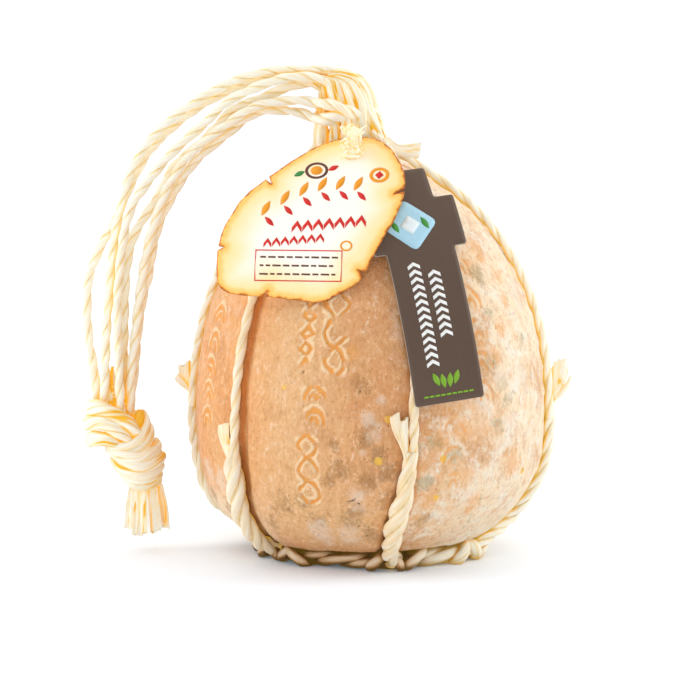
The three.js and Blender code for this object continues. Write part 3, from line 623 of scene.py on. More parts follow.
def rind_look():
    """Cheese rind: tan at the left, mottled and chalky at the right, with patches of mould and dirt and
    orange where a
    stamp was pressed, and painted shade: brown at the front middle and the foot, dark orange beside each
    cord, and dark in its crevices."""
    look = Look("rind", 0.5, Specular_IOR_Level=0.35, Subsurface_Weight=0.08, Subsurface_Scale=0.002)
    place = look.place()
    large = look.noise(place, 24, detail=5.0, roughness=0.6)
    middling = look.noise(place, 9, detail=7.0, roughness=0.72)
    other = look.noise(look.place((1, 1, 0.8)), 6, detail=7.0, roughness=0.75)
    small = look.noise(look.place((1, 1, 0.55)), 1.5, detail=5.0, roughness=0.75)
    fleck = look.noise(look.place((1, 1, 0.7)), 3.2, detail=6.0, roughness=0.8, distortion=0.6)
    look.coat((231, 180, 125))
    look.coat((247, 222, 187), look.value("pale"))
    look.coat((234, 158, 90), look.times(look.value("warm"), look.range(large, 0.3, 0.7, 0.35, 1.0)))
    # Painted shade: browner at the front middle and the foot
    look.coat((217, 140, 80), look.times(look.value("painted_shade"), look.range(middling, 0.3, 0.6, 0.3, 0.9)))
    look.coat((206, 146, 92), look.range(large, 0.49, 0.66, 0.0, 0.6))
    for tint, mottle, low, high, most in (
        ((228, 164, 96), other, 0.5, 0.68, 0.65),
        ((246, 234, 214), middling, 0.45, 0.63, 0.9),
        ((178, 164, 124), other, 0.43, 0.29, 0.65),
    ):
        look.coat(tint, look.times(look.range(mottle, low, high, 0.0, most), look.value("bloom")))
    look.coat((202, 136, 76), look.range(fleck, 0.52, 0.68, 0.0, 0.65))
    look.coat((253, 235, 208), look.range(fleck, 0.46, 0.28, 0.0, 0.7))
    ragged = look.plus(look.plus(look.times(middling, 2.0), look.times(fleck, 1.6)), -1.8)
    for name, tint, most in (
        ("rust", (238, 166, 86), 0.65),
        ("olive", (156, 110, 56), 0.6),
        ("mould", (170, 152, 112), 0.64),
        ("chalk", (238, 214, 190), 0.65),
    ):
        look.coat(tint, look.range(look.plus(look.value(name), ragged), 0.45, 1.15, 0.0, most))
    yolk = look.plus(look.value("yolk"), look.times(small, 0.5))
    look.coat((244, 192, 70), look.range(yolk, 0.7, 0.95, 0.0, 0.9))
    look.coat((254, 224, 186), look.range(small, 0.5, 0.74, 0.0, 0.55))
    look.coat((166, 104, 58), look.range(small, 0.47, 0.24, 0.0, 0.7))
    specks = look.times(
        look.range(look.cells(place, 3.1), 0.14, 0.06),
        look.range(look.plus(look.value("olive"), look.noise(place, 22, detail=1.0)), 0.56, 0.8),
    )
    look.coat((88, 60, 38), look.times(specks, 0.85))
    # The first is painted shade: dark orange beside each cord
    for name, tint, mottle, uneven, low, high, most in (
        ("groove", (212, 124, 46), fleck, 0.8, 0.25, 0.95, 0.75),
        ("mark", (240, 160, 68), small, 0.9, 0.12, 0.65, 0.85),
        ("rim", (252, 222, 178), fleck, 0.9, 0.2, 0.8, 0.68),
    ):
        pressed = look.plus(look.value(name), look.times(look.plus(mottle, -0.5), uneven))
        look.coat(tint, look.range(pressed, low, high, 0.0, most))
    look.coat((62, 44, 32), look.range(look.value("pit"), 0.3, 0.9))
    # Painted shade: dark in its crevices and under it, by how open the surface is
    look.coat((104, 64, 34), look.range(look.open(8.0), 0.5, 0.15, 0.0, 0.75))
    look.coat((44, 28, 18), look.range(look.open(5.0), 0.3, 0.1, 0.0, 0.85))
    grain = look.times(look.noise(place, 0.8, detail=2.0), 0.25)
    height = look.plus(look.plus(look.times(small, 0.7), look.times(middling, 1.2)), grain)
    return look.finish(height, 1.2, 0.8)


def parchment_look():
    """Pale paper that goes yellow, orange and brown towards its scorched edge."""
    look = Look("parchment", 0.55, Specular_IOR_Level=0.3)
    place = look.place()
    cloudy = look.noise(place, 14, detail=4.0)
    ragged = look.noise(place, 3, detail=4.0)
    edge = look.plus(look.value("edge"), look.plus(look.times(cloudy, -8.0), 4.0))
    near = look.plus(look.value("edge"), look.plus(look.times(ragged, -3.0), 1.5))
    look.coat((255, 226, 158))
    look.coat((254, 250, 238), look.range(edge, 1.0, 20.0))
    look.coat((253, 198, 98), look.range(near, 4.8, 0.6))
    look.coat((226, 124, 34), look.range(near, 1.0, 0.3, 0.0, 0.9))
    look.coat((128, 60, 22), look.range(near, 0.3, -0.1, 0.0, 0.7))
    return look.finish(look.noise(place, 0.8), 0.15, 0.3)


def card_look():
    """Dark brown printed card with a paler cut edge."""
    look = Look("card", 0.5, Specular_IOR_Level=0.35)
    grain = look.noise(look.place(), 0.7)
    look.coat((84, 64, 52))
    look.coat((98, 78, 64), grain)
    look.coat((176, 160, 142), look.range(look.value("edge"), 0.22, 0.05, 0.0, 0.8))
    return look.finish(grain, 0.08, 0.3)


def ink_look(name, tint):
    """One colour of print, a little uneven."""
    look = Look(name, 0.5, Specular_IOR_Level=0.3)
    grain = look.noise(look.place(), 1.2)
    look.coat([part * 0.93 for part in tint])
    look.coat(tint, grain)
    return look.finish(grain, 0.05, 0.3)


# --- Raffia ----------------------------------------------------------------------------------

PLY_PITCH = 25.0  # one whole turn of the two plies
PLY_OFF = 0.27  # of the twine's radius, from its middle to a ply's
TWINE_SIDES = 30
BUNDLE_SIDES = 44
RIBBON_SIDES = 18


def twine(line, seed, radius=TWINE_RADIUS, pitch=PLY_PITCH, swell=1.0, plies=2, off=PLY_OFF, deep=0.9):
    """A cord of twisted plies with folded fibres."""
    along = lengths(line)
    far = along[:, None]
    _, across, square = directions(line)
    around = circle(TWINE_SIDES)
    start = np.random.default_rng(seed).uniform(0, TURN)
    uneven = noise(xyz(along, 0, seed * 3.7), 14, seed)[:, None]
    local = around - (start + TURN * far / pitch + 0.35 * uneven)
    nearest = np.round(local * plies / TURN)
    local = local - nearest * TURN / plies
    thick = 1 - off
    reach = off * np.cos(local) + np.sqrt(thick**2 - (off * np.sin(local)) ** 2)
    half = math.pi / plies
    least = off * math.cos(half) + math.sqrt(thick**2 - (off * math.sin(half)) ** 2)
    depth = (1 - reach) / (1 - least)
    on_ply = np.arctan2(reach * np.sin(local), reach * np.cos(local) - off)
    fibre = xyz(on_ply * radius * thick * 1.4, far, nearest % plies * 9.0 + seed * 23.0)
    folds = noise(fibre * [1, 0.07, 1], 1.15, seed + 5)
    fold = peak(folds, 0.16)
    size = radius * (1 + 0.07 * uneven) * np.reshape(swell, (-1, 1))
    reach = size * (reach - 0.06 * fold * (1 - depth) + 0.04 * folds)
    rings = tube(line, across, square, reach * np.cos(around), reach * np.sin(around))
    # Crease: the valleys between the plies and the folds, where the look paints shade
    crease = np.clip(deep * depth**2.5 + 0.2 * fold * (1 - depth), 0, 1)
    return skin(rings, crease=crease, fibre=fibre)


def bundle(line, out, half_widths, half_thickness, seed, crease=0.0, lay=0.0, edges=0.0):
    """A soft flattened bundle of raffia, folded along its length. Out is the way its flat side looks, and
    edges is how much painted shade, in orange, the edges get that lie against its neighbours."""
    far = lengths(line)[:, None]
    onwards = unit(np.gradient(line, axis=0))
    square = unit(out - onwards * (out * onwards).sum(1)[:, None])
    across = np.cross(square, onwards)
    half = spread(half_widths, line)
    around = circle(BUNDLE_SIDES)
    turned = around + lay * far
    fibre = xyz(np.cos(turned) * 3.6, far * 0.9, np.sin(turned) * 3.6 + seed * 23.0)
    broad, fine, patchy = (
        noise(fibre * [1, stretch, 1], size, seed + k)
        for k, (stretch, size) in enumerate([(0.09, 1.9), (0.05, 1.0), (0.14, 3.0)])
    )
    wide = ease(0.5 + 2.2 * patchy)  # how wide a split is: it tapers to nothing at both ends
    split = wide * peak(broad, 0.03 + 0.27 * wide)
    edge = edges * ease((np.abs(np.cos(around)) - 0.72) / 0.2) * ease(0.35 - 2.6 * patchy)
    fold = peak(fine, 0.13)
    reach = 1 + 0.16 * broad - 0.2 * split - 0.06 * fold
    thick = half_thickness * np.minimum(1, half / max(half_widths) * 1.15 + 0.1)
    rings = tube(line, across, square, half * reach * np.cos(around), thick * reach * np.sin(around))
    # Crease: the splits, the edges against its neighbours and the folds, where the look paints shade
    crease = np.clip(crease + np.maximum(split, edge) + 0.3 * fold, 0, 1)
    return skin(rings, crease=crease, fibre=fibre)


def ribbon(line, side, half_widths, thickness, seed, curl=0.25, ragged=1.4):
    """A flat strip of raffia, a little curled and folded along its length, with a torn end."""
    far = lengths(line)[:, None]
    share = far / far[-1]
    onwards, across, square = directions(line, np.asarray(side, float))
    half = spread(half_widths, line)
    around = circle(RIBBON_SIDES)
    sideways = np.cos(around) * half
    fibre = xyz(sideways, far, seed * 23.0)
    folds = noise(fibre * [1, 0.05, 1], 0.9, seed)
    thick = thickness / 2 * np.sin(around) * (1 - 0.35 * share**3)
    bent = curl * half * (sideways / half) ** 2 + 0.45 * thickness * folds
    torn = noise(fibre * [1, 0, 1], 0.8, seed + 3)
    tear = ragged * torn * ease((share - 0.8) / 0.2)
    rings = tube(line, across, square, sideways, thick + bent) + onwards[:, None] * tear[..., None]
    broad = noise(fibre * [1, 0.05, 1], 2.0, seed + 1)
    # Crease: the folds, where the look paints shade
    crease = np.clip(0.9 * peak(broad, 0.075) + 0.45 * peak(folds, 0.14), 0, 1)
    return skin(rings, crease=crease, fibre=fibre)


# --- The cheese ------------------------------------------------------------------------------


def profile(latitude):
    """The bare pear shape: how far from its axis, and how high."""
    c = np.maximum(np.cos(latitude), 0)
    s = np.sin(latitude)
    below = s < 0
    reach = CHEESE_RADIUS * c ** np.where(below, LOWER_FULLNESS, SHOULDER_SLOPE)
    down = (WIDEST_Z + ROUNDING_BELOW_FLOOR) * np.abs(s) ** LOWER_FULLNESS
    up = (TOP_Z - WIDEST_Z) * np.abs(s) ** UPPER_FULLNESS
    return reach, WIDEST_Z + np.where(below, -down, up)


def latitude_of_reach_below(reach):
    return -math.acos((reach / CHEESE_RADIUS) ** (1 / LOWER_FULLNESS))


def latitude_of_height(z):
    if z < WIDEST_Z:
        return -math.asin(((WIDEST_Z - z) / (WIDEST_Z + ROUNDING_BELOW_FLOOR)) ** (1 / LOWER_FULLNESS))
    return math.asin(((z - WIDEST_Z) / (TOP_Z - WIDEST_Z)) ** (1 / UPPER_FULLNESS))


def cord_azimuth(cord, latitude):
    """Where round the cheese a cord of the net is."""
    degrees = latitude / DEGREE
    upper = mix(cord["foot"], cord["top"], ease((degrees + 35) / 90))
    return mix(upper, cord["knot"], ease((-36 - degrees) / 26)) * DEGREE


def ring_reach(azimuth):
    """How far the ring, which isn't quite under the cheese's middle, is from the cheese's axis."""
    return RING_RADIUS + RING_OFF_CHEESE * np.sin(azimuth)


def beside_cord(cord, azimuth, latitude):
    """How far to the right of a cord's line each place on the rind is."""
    return profile(latitude)[0] * wrap(azimuth - cord_azimuth(cord, latitude))


def groove_depth(azimuth, latitude):
    """How deep the cords have pressed the rind in."""
    fade = np.where(latitude < 0, ease((profile(latitude)[0] - RING_RADIUS) / 6), 1)
    depths = [
        cord["groove"] * hollow(beside_cord(cord, azimuth, latitude) - cord["side"], GROOVE_HALF_WIDTH)
        for cord in NET.values()
    ]
    return fade * np.max(depths, axis=0)


def cord_painted_shade(azimuth, latitude):
    """The painted shade beside each cord, a dark orange band, from 0 to 1."""
    bands = []
    for cord in NET.values():
        beside = beside_cord(cord, azimuth, latitude) - 0.6 - 0.4 * cord["side"]
        bands.append(min(1, cord["groove"] / 2.4) * hollow(beside, 3.0 + 0.1 * cord["side"]))
    return np.max(bands, axis=0) * ease((latitude / DEGREE + 60) / 25)


def ring_dent(azimuth, latitude):
    """How deep the ring has pressed the cheese's foot in."""
    dent = RING_DENT * hollow(profile(latitude)[0] - ring_reach(azimuth), DENT_HALF_WIDTH)
    return np.where(latitude < 0, dent, 0)


def swell(azimuth, latitude):
    """How far the cheese is from round."""
    wave = np.sin(3 * azimuth + 0.9) * 0.5 + np.sin(2 * azimuth + 2 * latitude)
    return SWELL * np.cos(latitude) ** 2 * wave


def outwards(latitude):
    """The direction out of the bare shape: from its axis, and up."""
    low, high = profile(latitude - 0.5 * DEGREE), profile(latitude + 0.5 * DEGREE)
    length = np.hypot(high[1] - low[1], high[0] - low[0])
    return (high[1] - low[1]) / length, (low[0] - high[0]) / length


def on_rind(azimuth, latitude, off=0.0):
    """Places on the cheese, or off its rind."""
    reach, height = profile(latitude)
    out, rise = outwards(latitude)
    move = off + swell(azimuth, latitude)
    move = move - np.maximum(groove_depth(azimuth, latitude), ring_dent(azimuth, latitude))
    z = height + rise * move
    r = reach + out * move
    lean = LEAN * (np.maximum(0, height) / TOP_Z) ** LEAN_LATENESS
    x = r * np.sin(azimuth) + lean + SAG_X * hollow(height - SAG_Z, SAG_HALF_HEIGHT)
    return xyz(x, -r * np.cos(azimuth), z)


# Stamps in the rind. Each is a band that runs up the cheese: its azimuth in degrees, the heights
# between which it lies, half its width, its pattern and how clear it is.
STAMPS = [
    (-22.5, 103, 140, 3.6, "lozenges", 1.0),
    (-12.5, 99, 146, 6.2, "chain", 1.0),
    (-19.0, 75, 94, 5.6, "arches", 0.9),
    (-21.5, 36, 71, 5.6, "chain", 0.95),
    (-69.0, 66, 136, 6.0, "arches", 0.9),
    (38.0, 84, 150, 7.0, "arches", 0.6),
    (27.0, 44, 84, 6.0, "arches", 0.5),
    (128.0, 60, 140, 7.0, "chain", 0.7),
    (170.0, 60, 135, 7.0, "lozenges", 0.7),
    (-130.0, 60, 140, 7.0, "arches", 0.7),
]
STAMP_DEPTH = 0.7
STAMP_LIP = 0.3  # how far the lip beside a line stands up
STAMP_LINE = 1.5  # half the width of a pressed line
STAMP_RIM = 1.4  # half the width of the lip beside it


def stamp_distance(across, along, half, pattern):
    """How far each place is from the stamp's nearest line."""
    phase = along / (half * 2.1)
    if pattern == "chain":
        wave = half * 0.85 * np.sin(math.pi * phase)
        slope = np.hypot(1, 0.85 * math.pi / 2.1 * np.cos(math.pi * phase))
        return np.minimum(np.abs(across - wave), np.abs(across + wave)) / slope
    if pattern == "lozenges":
        beat = np.abs((phase % 1) - 0.5) * 2
        return np.abs(np.abs(across) / half + (1 - beat) * 1.15 - 0.8) * half * 0.7
    arch = np.hypot(across / half, (phase % 1) * 1.5)
    return np.minimum(np.abs(arch - 0.9), np.abs(arch - 0.4)) * half


def stamps(azimuth, latitude):
    """The stamps' pressed lines and the lips beside them, each from 0 to 1."""
    reach, height = profile(latitude)
    pressed, rim = np.zeros_like(azimuth), np.zeros_like(azimuth)
    for degrees, low, high, half, pattern, clear in STAMPS:
        across = reach * wrap(azimuth - degrees * DEGREE)
        inside = (np.abs(across) < half + 3) & (height > low - 3) & (height < high + 3)
        u, v = across[inside], height[inside] - low
        wavy_u = u + 1.3 * noise(xyz(u, v, degrees), 4.0, 71)
        wavy_v = v + 1.1 * noise(xyz(v, u, 0), 3.2, 73)
        distance = stamp_distance(wavy_u, wavy_v, half, pattern)
        ends = ease((v + 1) / 2) * ease((high - low + 1 - v) / 2) * ease((half + 1.5 - np.abs(u)) / 1.5)
        worn = ease(0.5 + 1.8 * (0.36 + noise(xyz(u, v, 7 * degrees), 5.0, 72)))
        strength = clear * ends * worn
        pressed[inside] = np.maximum(pressed[inside], strength * hollow(distance, STAMP_LINE))
        lip = hollow(distance - STAMP_RIM - 0.3, STAMP_RIM)
        rim[inside] = np.maximum(rim[inside], strength * lip)
    return pressed, rim


# Pits and splits: azimuth in degrees, height, half length and half width, and turn
PITS = [
    (-6.5, 38.6, 4.2, 0.8, 0.35), (-4.0, 37.2, 2.2, 0.7, -0.5), (-5.4, 40.2, 1.8, 0.6, 0.1),
    (-23, 100, 1.0, 0.7, 1.2), (-4, 92, 1.7, 0.8, 1.4), (-47, 67, 2.4, 0.9, 1.4), (-30, 88, 0.9, 0.8, 0),
    (-8, 29, 0.9, 0.8, 0), (-3, 25, 1.6, 0.7, 0.2), (0, 20, 1.3, 0.7, 0.3), (47, 31, 0.9, 0.8, 0),
    (34, 32, 0.8, 0.8, 0), (-72, 65, 0.9, 0.8, 0), (-59, 47, 1.0, 0.9, 0), (-61, 41, 0.8, 0.8, 0),
    (150, 60, 2.0, 0.9, 0.5), (-150, 95, 1.2, 0.9, 1),
]
PIT_DEPTH = 1.4


def pits(azimuth, latitude):
    """The pits and splits, from 0 at their edge to 1."""
    reach, height = profile(latitude)
    deepest = np.zeros_like(azimuth)
    for degrees, z, length, width, turn in PITS:
        across, up = reach * wrap(azimuth - degrees * DEGREE), height - z
        u = across * math.cos(turn) + up * math.sin(turn)
        v = up * math.cos(turn) - across * math.sin(turn)
        deepest = np.maximum(deepest, hollow(np.hypot(u / length, v / width), 1.0))
    return deepest


# Patches on the rind: azimuth in degrees, height and radius
PATCHES = {
    "rust": [
        (31, 72, 5.8), (38, 111, 4.9), (45, 105, 4.4), (58, 129, 3.4), (40, 131, 4.9), (31, 50, 4.9),
        (52, 53, 6.8), (53, 152, 6.3), (22, 68, 4.4), (26, 79, 2.9), (20, 39, 4.4), (-7, 110, 3.9),
        (38, 34, 5.8), (44, 146, 7.0), (36, 140, 6.0), (60, 140, 5.0), (29, 88, 5.0), (24, 98, 4.0),
        (50, 118, 4.4),
    ],
    "olive": [
        (-2, 69, 5.8), (2, 62, 5.3), (-32, 34, 6.3), (-24, 38, 4.4), (-10, 54, 6.3), (5, 54, 4.9),
        (0, 76, 3.4), (-3, 95, 4.4), (-14, 49, 3.9), (-73, 31, 4.4), (-60, 29, 5.4), (5, 40, 4.4),
        (-6, 30, 6.0), (-18, 27, 5.0), (-38, 24, 4.6), (-2, 50, 6.0), (2, 22, 5.0), (-12, 66, 3.6),
        (20, 28, 3.6),
    ],
    "mould": [
        (20, 67, 3.9), (42, 101, 4.4), (46, 91, 4.4), (48, 83, 3.9), (27, 60, 3.9), (17, 48, 3.9),
        (47, 126, 3.9), (44, 72, 3.9), (13, 64, 3.4), (61, 109, 3.4), (47, 142, 3.9),
    ],
    "chalk": [
        (-1, 79, 3.4), (1, 71, 3.4), (3, 88, 2.4), (-3, 63, 1.9), (46, 94, 5.3), (49, 76, 4.9),
        (37, 84, 3.9), (-5, 40, 4.6), (44, 61, 1.2), (-38, 32, 1.0), (-18, 21, 6.8), (-7, 19, 5.8),
        (70, 127, 5.8), (60, 90, 5.8), (-63, 41, 5.4), (-72, 44, 5.0), (2, 76, 2.4),
    ],
    "yolk": [(23, 59, 1.5), (5, 79, 1.5), (22, 40, 1.2), (-30, 92, 1.0), (2, 59, 1.7), (59, 47, 1.3)],
}
PATCHES_BEHIND = 11  # of each kind, where the photo doesn't look
YOLK_SMALLER = 0.3


def patches_on(azimuth, height):
    """How near the middle of a patch each place is, from 0 to 1, for each kind of patch."""
    draw = np.random.default_rng(61)
    values = {}
    for kind, spots in PATCHES.items():
        scale = YOLK_SMALLER if kind == "yolk" else 1
        behind = [
            (draw.uniform(95, 275), draw.uniform(20, 165), draw.uniform(1.5, 6) * scale)
            for _ in range(PATCHES_BEHIND)
        ]
        values[kind] = np.zeros_like(azimuth)
        reach = CHEESE_RADIUS * np.sqrt(np.clip(1 - ((height - WIDEST_Z) / 135) ** 2, 0, 1))
        for degrees, z, radius in [*spots, *behind]:
            away = np.hypot(reach * wrap(azimuth - degrees * DEGREE), height - z)
            values[kind] = np.maximum(values[kind], hollow(away, 2.7 * radius))
    return values


# The warm patch behind the card: azimuth in degrees, height and radius
WARM_PATCH = (30, 84, 36)


def tones(azimuth, height, broad):
    """How pale, mottled and warm each place of the rind is, and how much painted shade it has, from 0 to 1.
    """
    side = np.sin(azimuth)
    low = ease((50 - height) / 25) * ease((-0.5 - side) / 0.3)
    degrees, middle, radius = WARM_PATCH
    by_card = np.hypot(CHEESE_RADIUS * wrap(azimuth - degrees * DEGREE), 0.8 * (height - middle))
    # Painted shade: darker at the front middle and at the foot
    front = 0.78 * hollow(wrap(azimuth - 2 * DEGREE) / DEGREE, 34) * ease((height - 20) / 40)
    foot = 0.9 * ease((24 - height) / 22) * ease((0.7 - side) / 0.5)
    return dict(
        pale=np.clip(ease((side - 0.16) / 0.6) + 0.8 * low, 0, 1),
        bloom=np.clip(0.06 + 0.95 * ease((side - 0.05) / 0.35) + 0.25 * broad, 0, 1),
        warm=np.maximum(ease((-0.45 - side) / 0.3) * (1 - low), 0.6 * hollow(by_card, radius)),
        painted_shade=np.maximum(front, foot),
    )


def cheese(material):
    """The rind, with the values that its look reads: pressed marks, painted shade beside the cords, tones
    with painted shade, and patches.
    """
    lowest = latitude_of_height(0.0)
    latitudes = np.concatenate([
        np.linspace(-89.5 * DEGREE, lowest, 8)[:-1], np.linspace(lowest, 86 * DEGREE, CHEESE_ROWS),
    ])
    latitude, azimuth = np.meshgrid(latitudes, circle(CHEESE_COLUMNS), indexing="ij")
    places = on_rind(azimuth, latitude)
    lumps = 0.55 * noise(places, 17, 11) + 0.28 * noise(places, 6.5, 12)
    wrinkles = 0.16 * noise(places * [1, 1, 0.6], 2.4, 13) + 0.1 * noise(places * [1, 1, 0.5], 1.5, 15)
    pressed, rim = stamps(azimuth, latitude)
    pit = pits(azimuth, latitude)
    relief = (lumps + wrinkles) * np.where(latitude < lowest, 0, 1)
    relief = relief + STAMP_LIP * rim - STAMP_DEPTH * pressed - PIT_DEPTH * pit
    rings = on_rind(azimuth, latitude, relief)
    rings[..., 2] = np.maximum(rings[..., 2], 0)
    height = profile(latitude)[1]
    patch = skin(
        rings, groove=cord_painted_shade(azimuth, latitude), mark=pressed, rim=rim, pit=pit,
        **tones(azimuth, height, noise(places, 30, 14)), **patches_on(azimuth, height),
    )
    return piece("cheese_rind", [patch], material, ["cheese"])


# --- The net ---------------------------------------------------------------------------------


def net_line(name, cord):
    """The middle line of a cord of the net, the directions out of the rind and to its right, how doubled
    the cord is, how far along each point is, and how far along its two halves part."""
    foot = latitude_of_reach_below(ring_reach(cord["knot"] * DEGREE) + RING_FOOT_OFF)
    meet = latitude_of_height(cord["tail_z"])
    latitude = np.linspace(foot, NET_LEAVES_RIND, NET_SAMPLES + 1)

    def middle(at):
        doubled = 1 - ease((at - meet) / TWIST_ENDS_OVER)
        off = TWINE_RADIUS + GAP + OFF_RIND + doubled * (TWINE_RADIUS + GAP - ROPES[name][3])
        return on_rind(cord_azimuth(cord, at), at, off), doubled

    line, doubled = middle(latitude)
    azimuth = cord_azimuth(cord, latitude)
    out, rise = outwards(latitude)
    away = xyz(out * np.sin(azimuth), -out * np.cos(azimuth), rise)
    right = unit(np.cross(middle(latitude + 0.5 * DEGREE)[0] - line, away))
    along = lengths(line)
    return line, away, right, doubled, along, along[np.argmax(latitude >= meet)]


def net_cord(name, cord, material, seed):
    """The doubled stretch, three plies thick, and the single twine above it."""
    line, _, right, doubled, along, parts = net_line(name, cord)
    knot = cord["knot"] * DEGREE
    radius, pitch, off, _ = ROPES[name]
    low = [ring_place(knot, 0.0, 0.5), ring_place(knot, 6.0, 1.5)]
    route = curve_through([*low, *line[along < parts + 4][:0:-3][::-1]])
    far = lengths(route)
    swell = mix(0.62, 1.0, ease((far[-1] - far) / 11)) * (1 + 0.1 * np.sin(far / 9 + seed))
    lower = above_floor(twine(route, seed, radius, pitch, swell, plies=3, off=off))
    heading = cord_azimuth(cord, NET_LEAVES_RIND)
    slot = BINDING_X + 1, 0, BINDING_Z + 3
    slot = slot + CORD_CIRCLE * np.array([math.sin(heading), -0.8 * math.cos(heading), 0])
    bend = mix(line[-1], slot, np.array([0.62, 0.62, 0.5]))
    aside = right * (-SINGLE_ASIDE * cord["aside"] * doubled)[:, None]
    above = (line + aside)[along > parts - SINGLE_STARTS][::3]
    upper = twine(curve_through([*above, bend, slot - UP * 6, slot]), seed + 50)
    return piece(f"twine_{name}", [lower, upper], material, [f"cord_{name}"])


def net_tail(name, cord, material, seed):
    """The free end: flat strips that leave the doubled stretch."""
    line, away, right, _, along, parts = net_line(name, cord)
    start = STRIP_ASIDE * cord["aside"]
    patches = []
    for i, (aside, out, reach, half_widths, flat) in enumerate(STRIPS[name]):
        past = np.arange(-STRIP_STARTS, reach, 1.0)
        line_at, away_at, right_at = (
            np.stack([np.interp(parts + past, along, rows[:, k]) for k in range(3)], 1)
            for rows in (line, away, right)
        )
        share = ease((past + STRIP_STARTS) / (reach + STRIP_STARTS))[:, None]
        route = line_at + right_at * mix(start, aside, share) + away_at * mix(0.4, out, share)
        side = right_at[-1] if flat else away_at[-1]
        widths = [half_widths[0], *half_widths]
        patches.append(ribbon(route, side, widths, STRIP_THICKNESS, seed + 9 * i, ragged=1.8))
    return piece(f"twine_tail_{name}", patches, material, [f"tail_{name}"])


def ring_place(azimuth, out, up):
    """Places round the ring, from its middle line."""
    reach = RING_RADIUS + out
    return xyz(RING_X + reach * np.sin(azimuth), -reach * np.cos(azimuth), RING_HALF_HEIGHT + up)


LOWEST = 0.15  # how far off the floor the ring's raffia stays


def above_floor(patch):
    """A patch with what would dip into the floor pressed flat on it."""
    points, faces, values = patch
    points = points.copy()
    points[:, 2] = np.maximum(points[:, 2], LOWEST)
    return points, faces, values


RING_CORDS = 3
RING_TURNS = 6
RING_PITCH = 62.0
HITCH_PITCH = 44.0
# The turns of a hitch: how far round the ring and how slanted each is, and how far out and up it reaches
HITCH = [(-0.15, 0.08, 6.6, 4.6), (0.02, -0.06, 7.0, 5.0), (0.18, 0.1, 6.6, 4.6)]
BULKY_HITCH = [(-0.32, 0.12, 8.4, 5.4), (-0.08, 0.14, 9.2, 6.4), (0.3, -0.12, 7.2, 5.0)]


def base_ring(material):
    """Cords laid round each other, with a hitch at every cord of the net."""
    cord_of_ring = dict(radius=3.0, off=0.16, deep=0.7)
    azimuth = np.linspace(0, TURN, 321)
    patches = []
    for i in range(RING_CORDS):
        phase = RING_TURNS * azimuth + i * TURN / RING_CORDS
        uneven = noise(xyz(np.cos(azimuth) * 40, np.sin(azimuth) * 40, i), 16, 31)
        line = ring_place(azimuth, 3.0 * np.cos(phase) + 1.2 * uneven, 2.2 * np.sin(phase) + 0.5)
        patches.append(above_floor(twine(evenly(line, 1.2), 50 + i, pitch=RING_PITCH, **cord_of_ring)))
    turn = np.linspace(-0.45 * math.pi, 1.5 * math.pi, 40)
    for i, (name, cord) in enumerate(NET.items()):
        loops = HITCH + (BULKY_HITCH if name == "left_front" else [])
        for j, (shift, lean, out, up) in enumerate(loops):
            round_ring = cord["knot"] * DEGREE + shift + lean * np.sin(turn)
            line = ring_place(round_ring, 0.35 * out + 0.85 * out * np.cos(turn), 0.9 + up * np.sin(turn))
            line = evenly(line, 1.0)
            ends = ease(np.minimum(lengths(line), lengths(line)[::-1]) / 5)
            tapered = dict(pitch=HITCH_PITCH, swell=mix(0.4, 1.0, ends), **cord_of_ring)
            patches.append(above_floor(twine(line, 60 + 5 * i + j, **tapered)))
    return piece("twine_ring", patches, material, ["base_ring"])


# --- The binding, the strands and their knot ---------------------------------------------------


def away_from(line, axis):
    """Level directions from an upright axis to each point of a line."""
    out = line - axis
    out[:, 2] = 0
    return unit(out)


def binding(material):
    """The gathered cords, which turn over into the strands, and the turns round them."""
    looks = dict(crease=0.2, lay=0.05, edges=0.95)
    patches = []
    for i, (points, half_widths) in enumerate(BINDING_BUNDLES):
        for j, mirror in enumerate((1, NEARER_BEHIND)):
            line = curve_through(np.array(points, float) * [1, mirror, 1])
            out = away_from(line, [BINDING_X, 0, 0]) + UP * ease((line[:, 2:] - 222) / 8)
            seed = 100 + 2 * i + j
            patches.append(bundle(line, out, half_widths, BUNDLE_HALF_THICKNESS, seed, **looks))
    core = curve_through([
        [BINDING_X + 1, 0, BINDING_Z - 5], [BINDING_X, 0, WRAP_Z], [BINDING_X - 0.5, 0, BINDING_TOP_Z],
        [BINDING_X - 3, 0, BINDING_TOP_Z + 8], [BINDING_X - 8, 0, BINDING_TOP_Z + 10],
    ])
    share = lengths(core) / lengths(core)[-1]
    thinner = 1 - 0.8 * ease((share - 0.45) / 0.5)
    patches.append(twine(core, 99, CORE_RADIUS, 60, swell=thinner, deep=1.0))
    turn = np.linspace(0.28 * math.pi, 1.62 * math.pi, 70)
    for i, side in enumerate((-1, 1)):
        x = (BINDING_HEAD[0] + 2.2) * np.sin(turn)
        y = -(BINDING_HEAD[1] + 3.4) * np.cos(turn)
        line = xyz(BINDING_X + x, y, WRAP_Z + side * WRAP_APART + np.tan(WRAP_TILT) * x)
        patches.append(twine(evenly(line, 1.0), 130 + i, WRAP_RADIUS))
    return piece("twine_binding", patches, material, ["top_binding"])


def strand_route(i):
    """From inside the binding to inside the knot."""
    route = STRANDS[i]
    last, before = np.array(route[-1]), np.array(route[-2])
    end = last + unit(last - before) * STRAND_INTO_KNOT
    return curve_through([*STRAND_ROOTS[i], *route, end])


def strand(i, material):
    """One free strand, which is a little thicker where it leaves the binding."""
    line = strand_route(i)
    crosses = len(STRAND_ROOTS[i]) > 1
    swell = 1 + (0.4 if crosses else 0.1) * ease(1 - lengths(line) / 40)
    patch = twine(line, 10 + i, swell=swell)
    made = piece(f"twine_strand_{i + 1}", [patch], material, [f"strand_{i + 1}"])


def knot_axis(line):
    """The knot's middle at the height of each point."""
    heights = [row[0] for row in KNOT_BODY][::-1]
    middle = np.interp(line[:, 2], heights, [row[1] for row in KNOT_BODY][::-1])
    return xyz(middle, 1.5, line[:, 2])


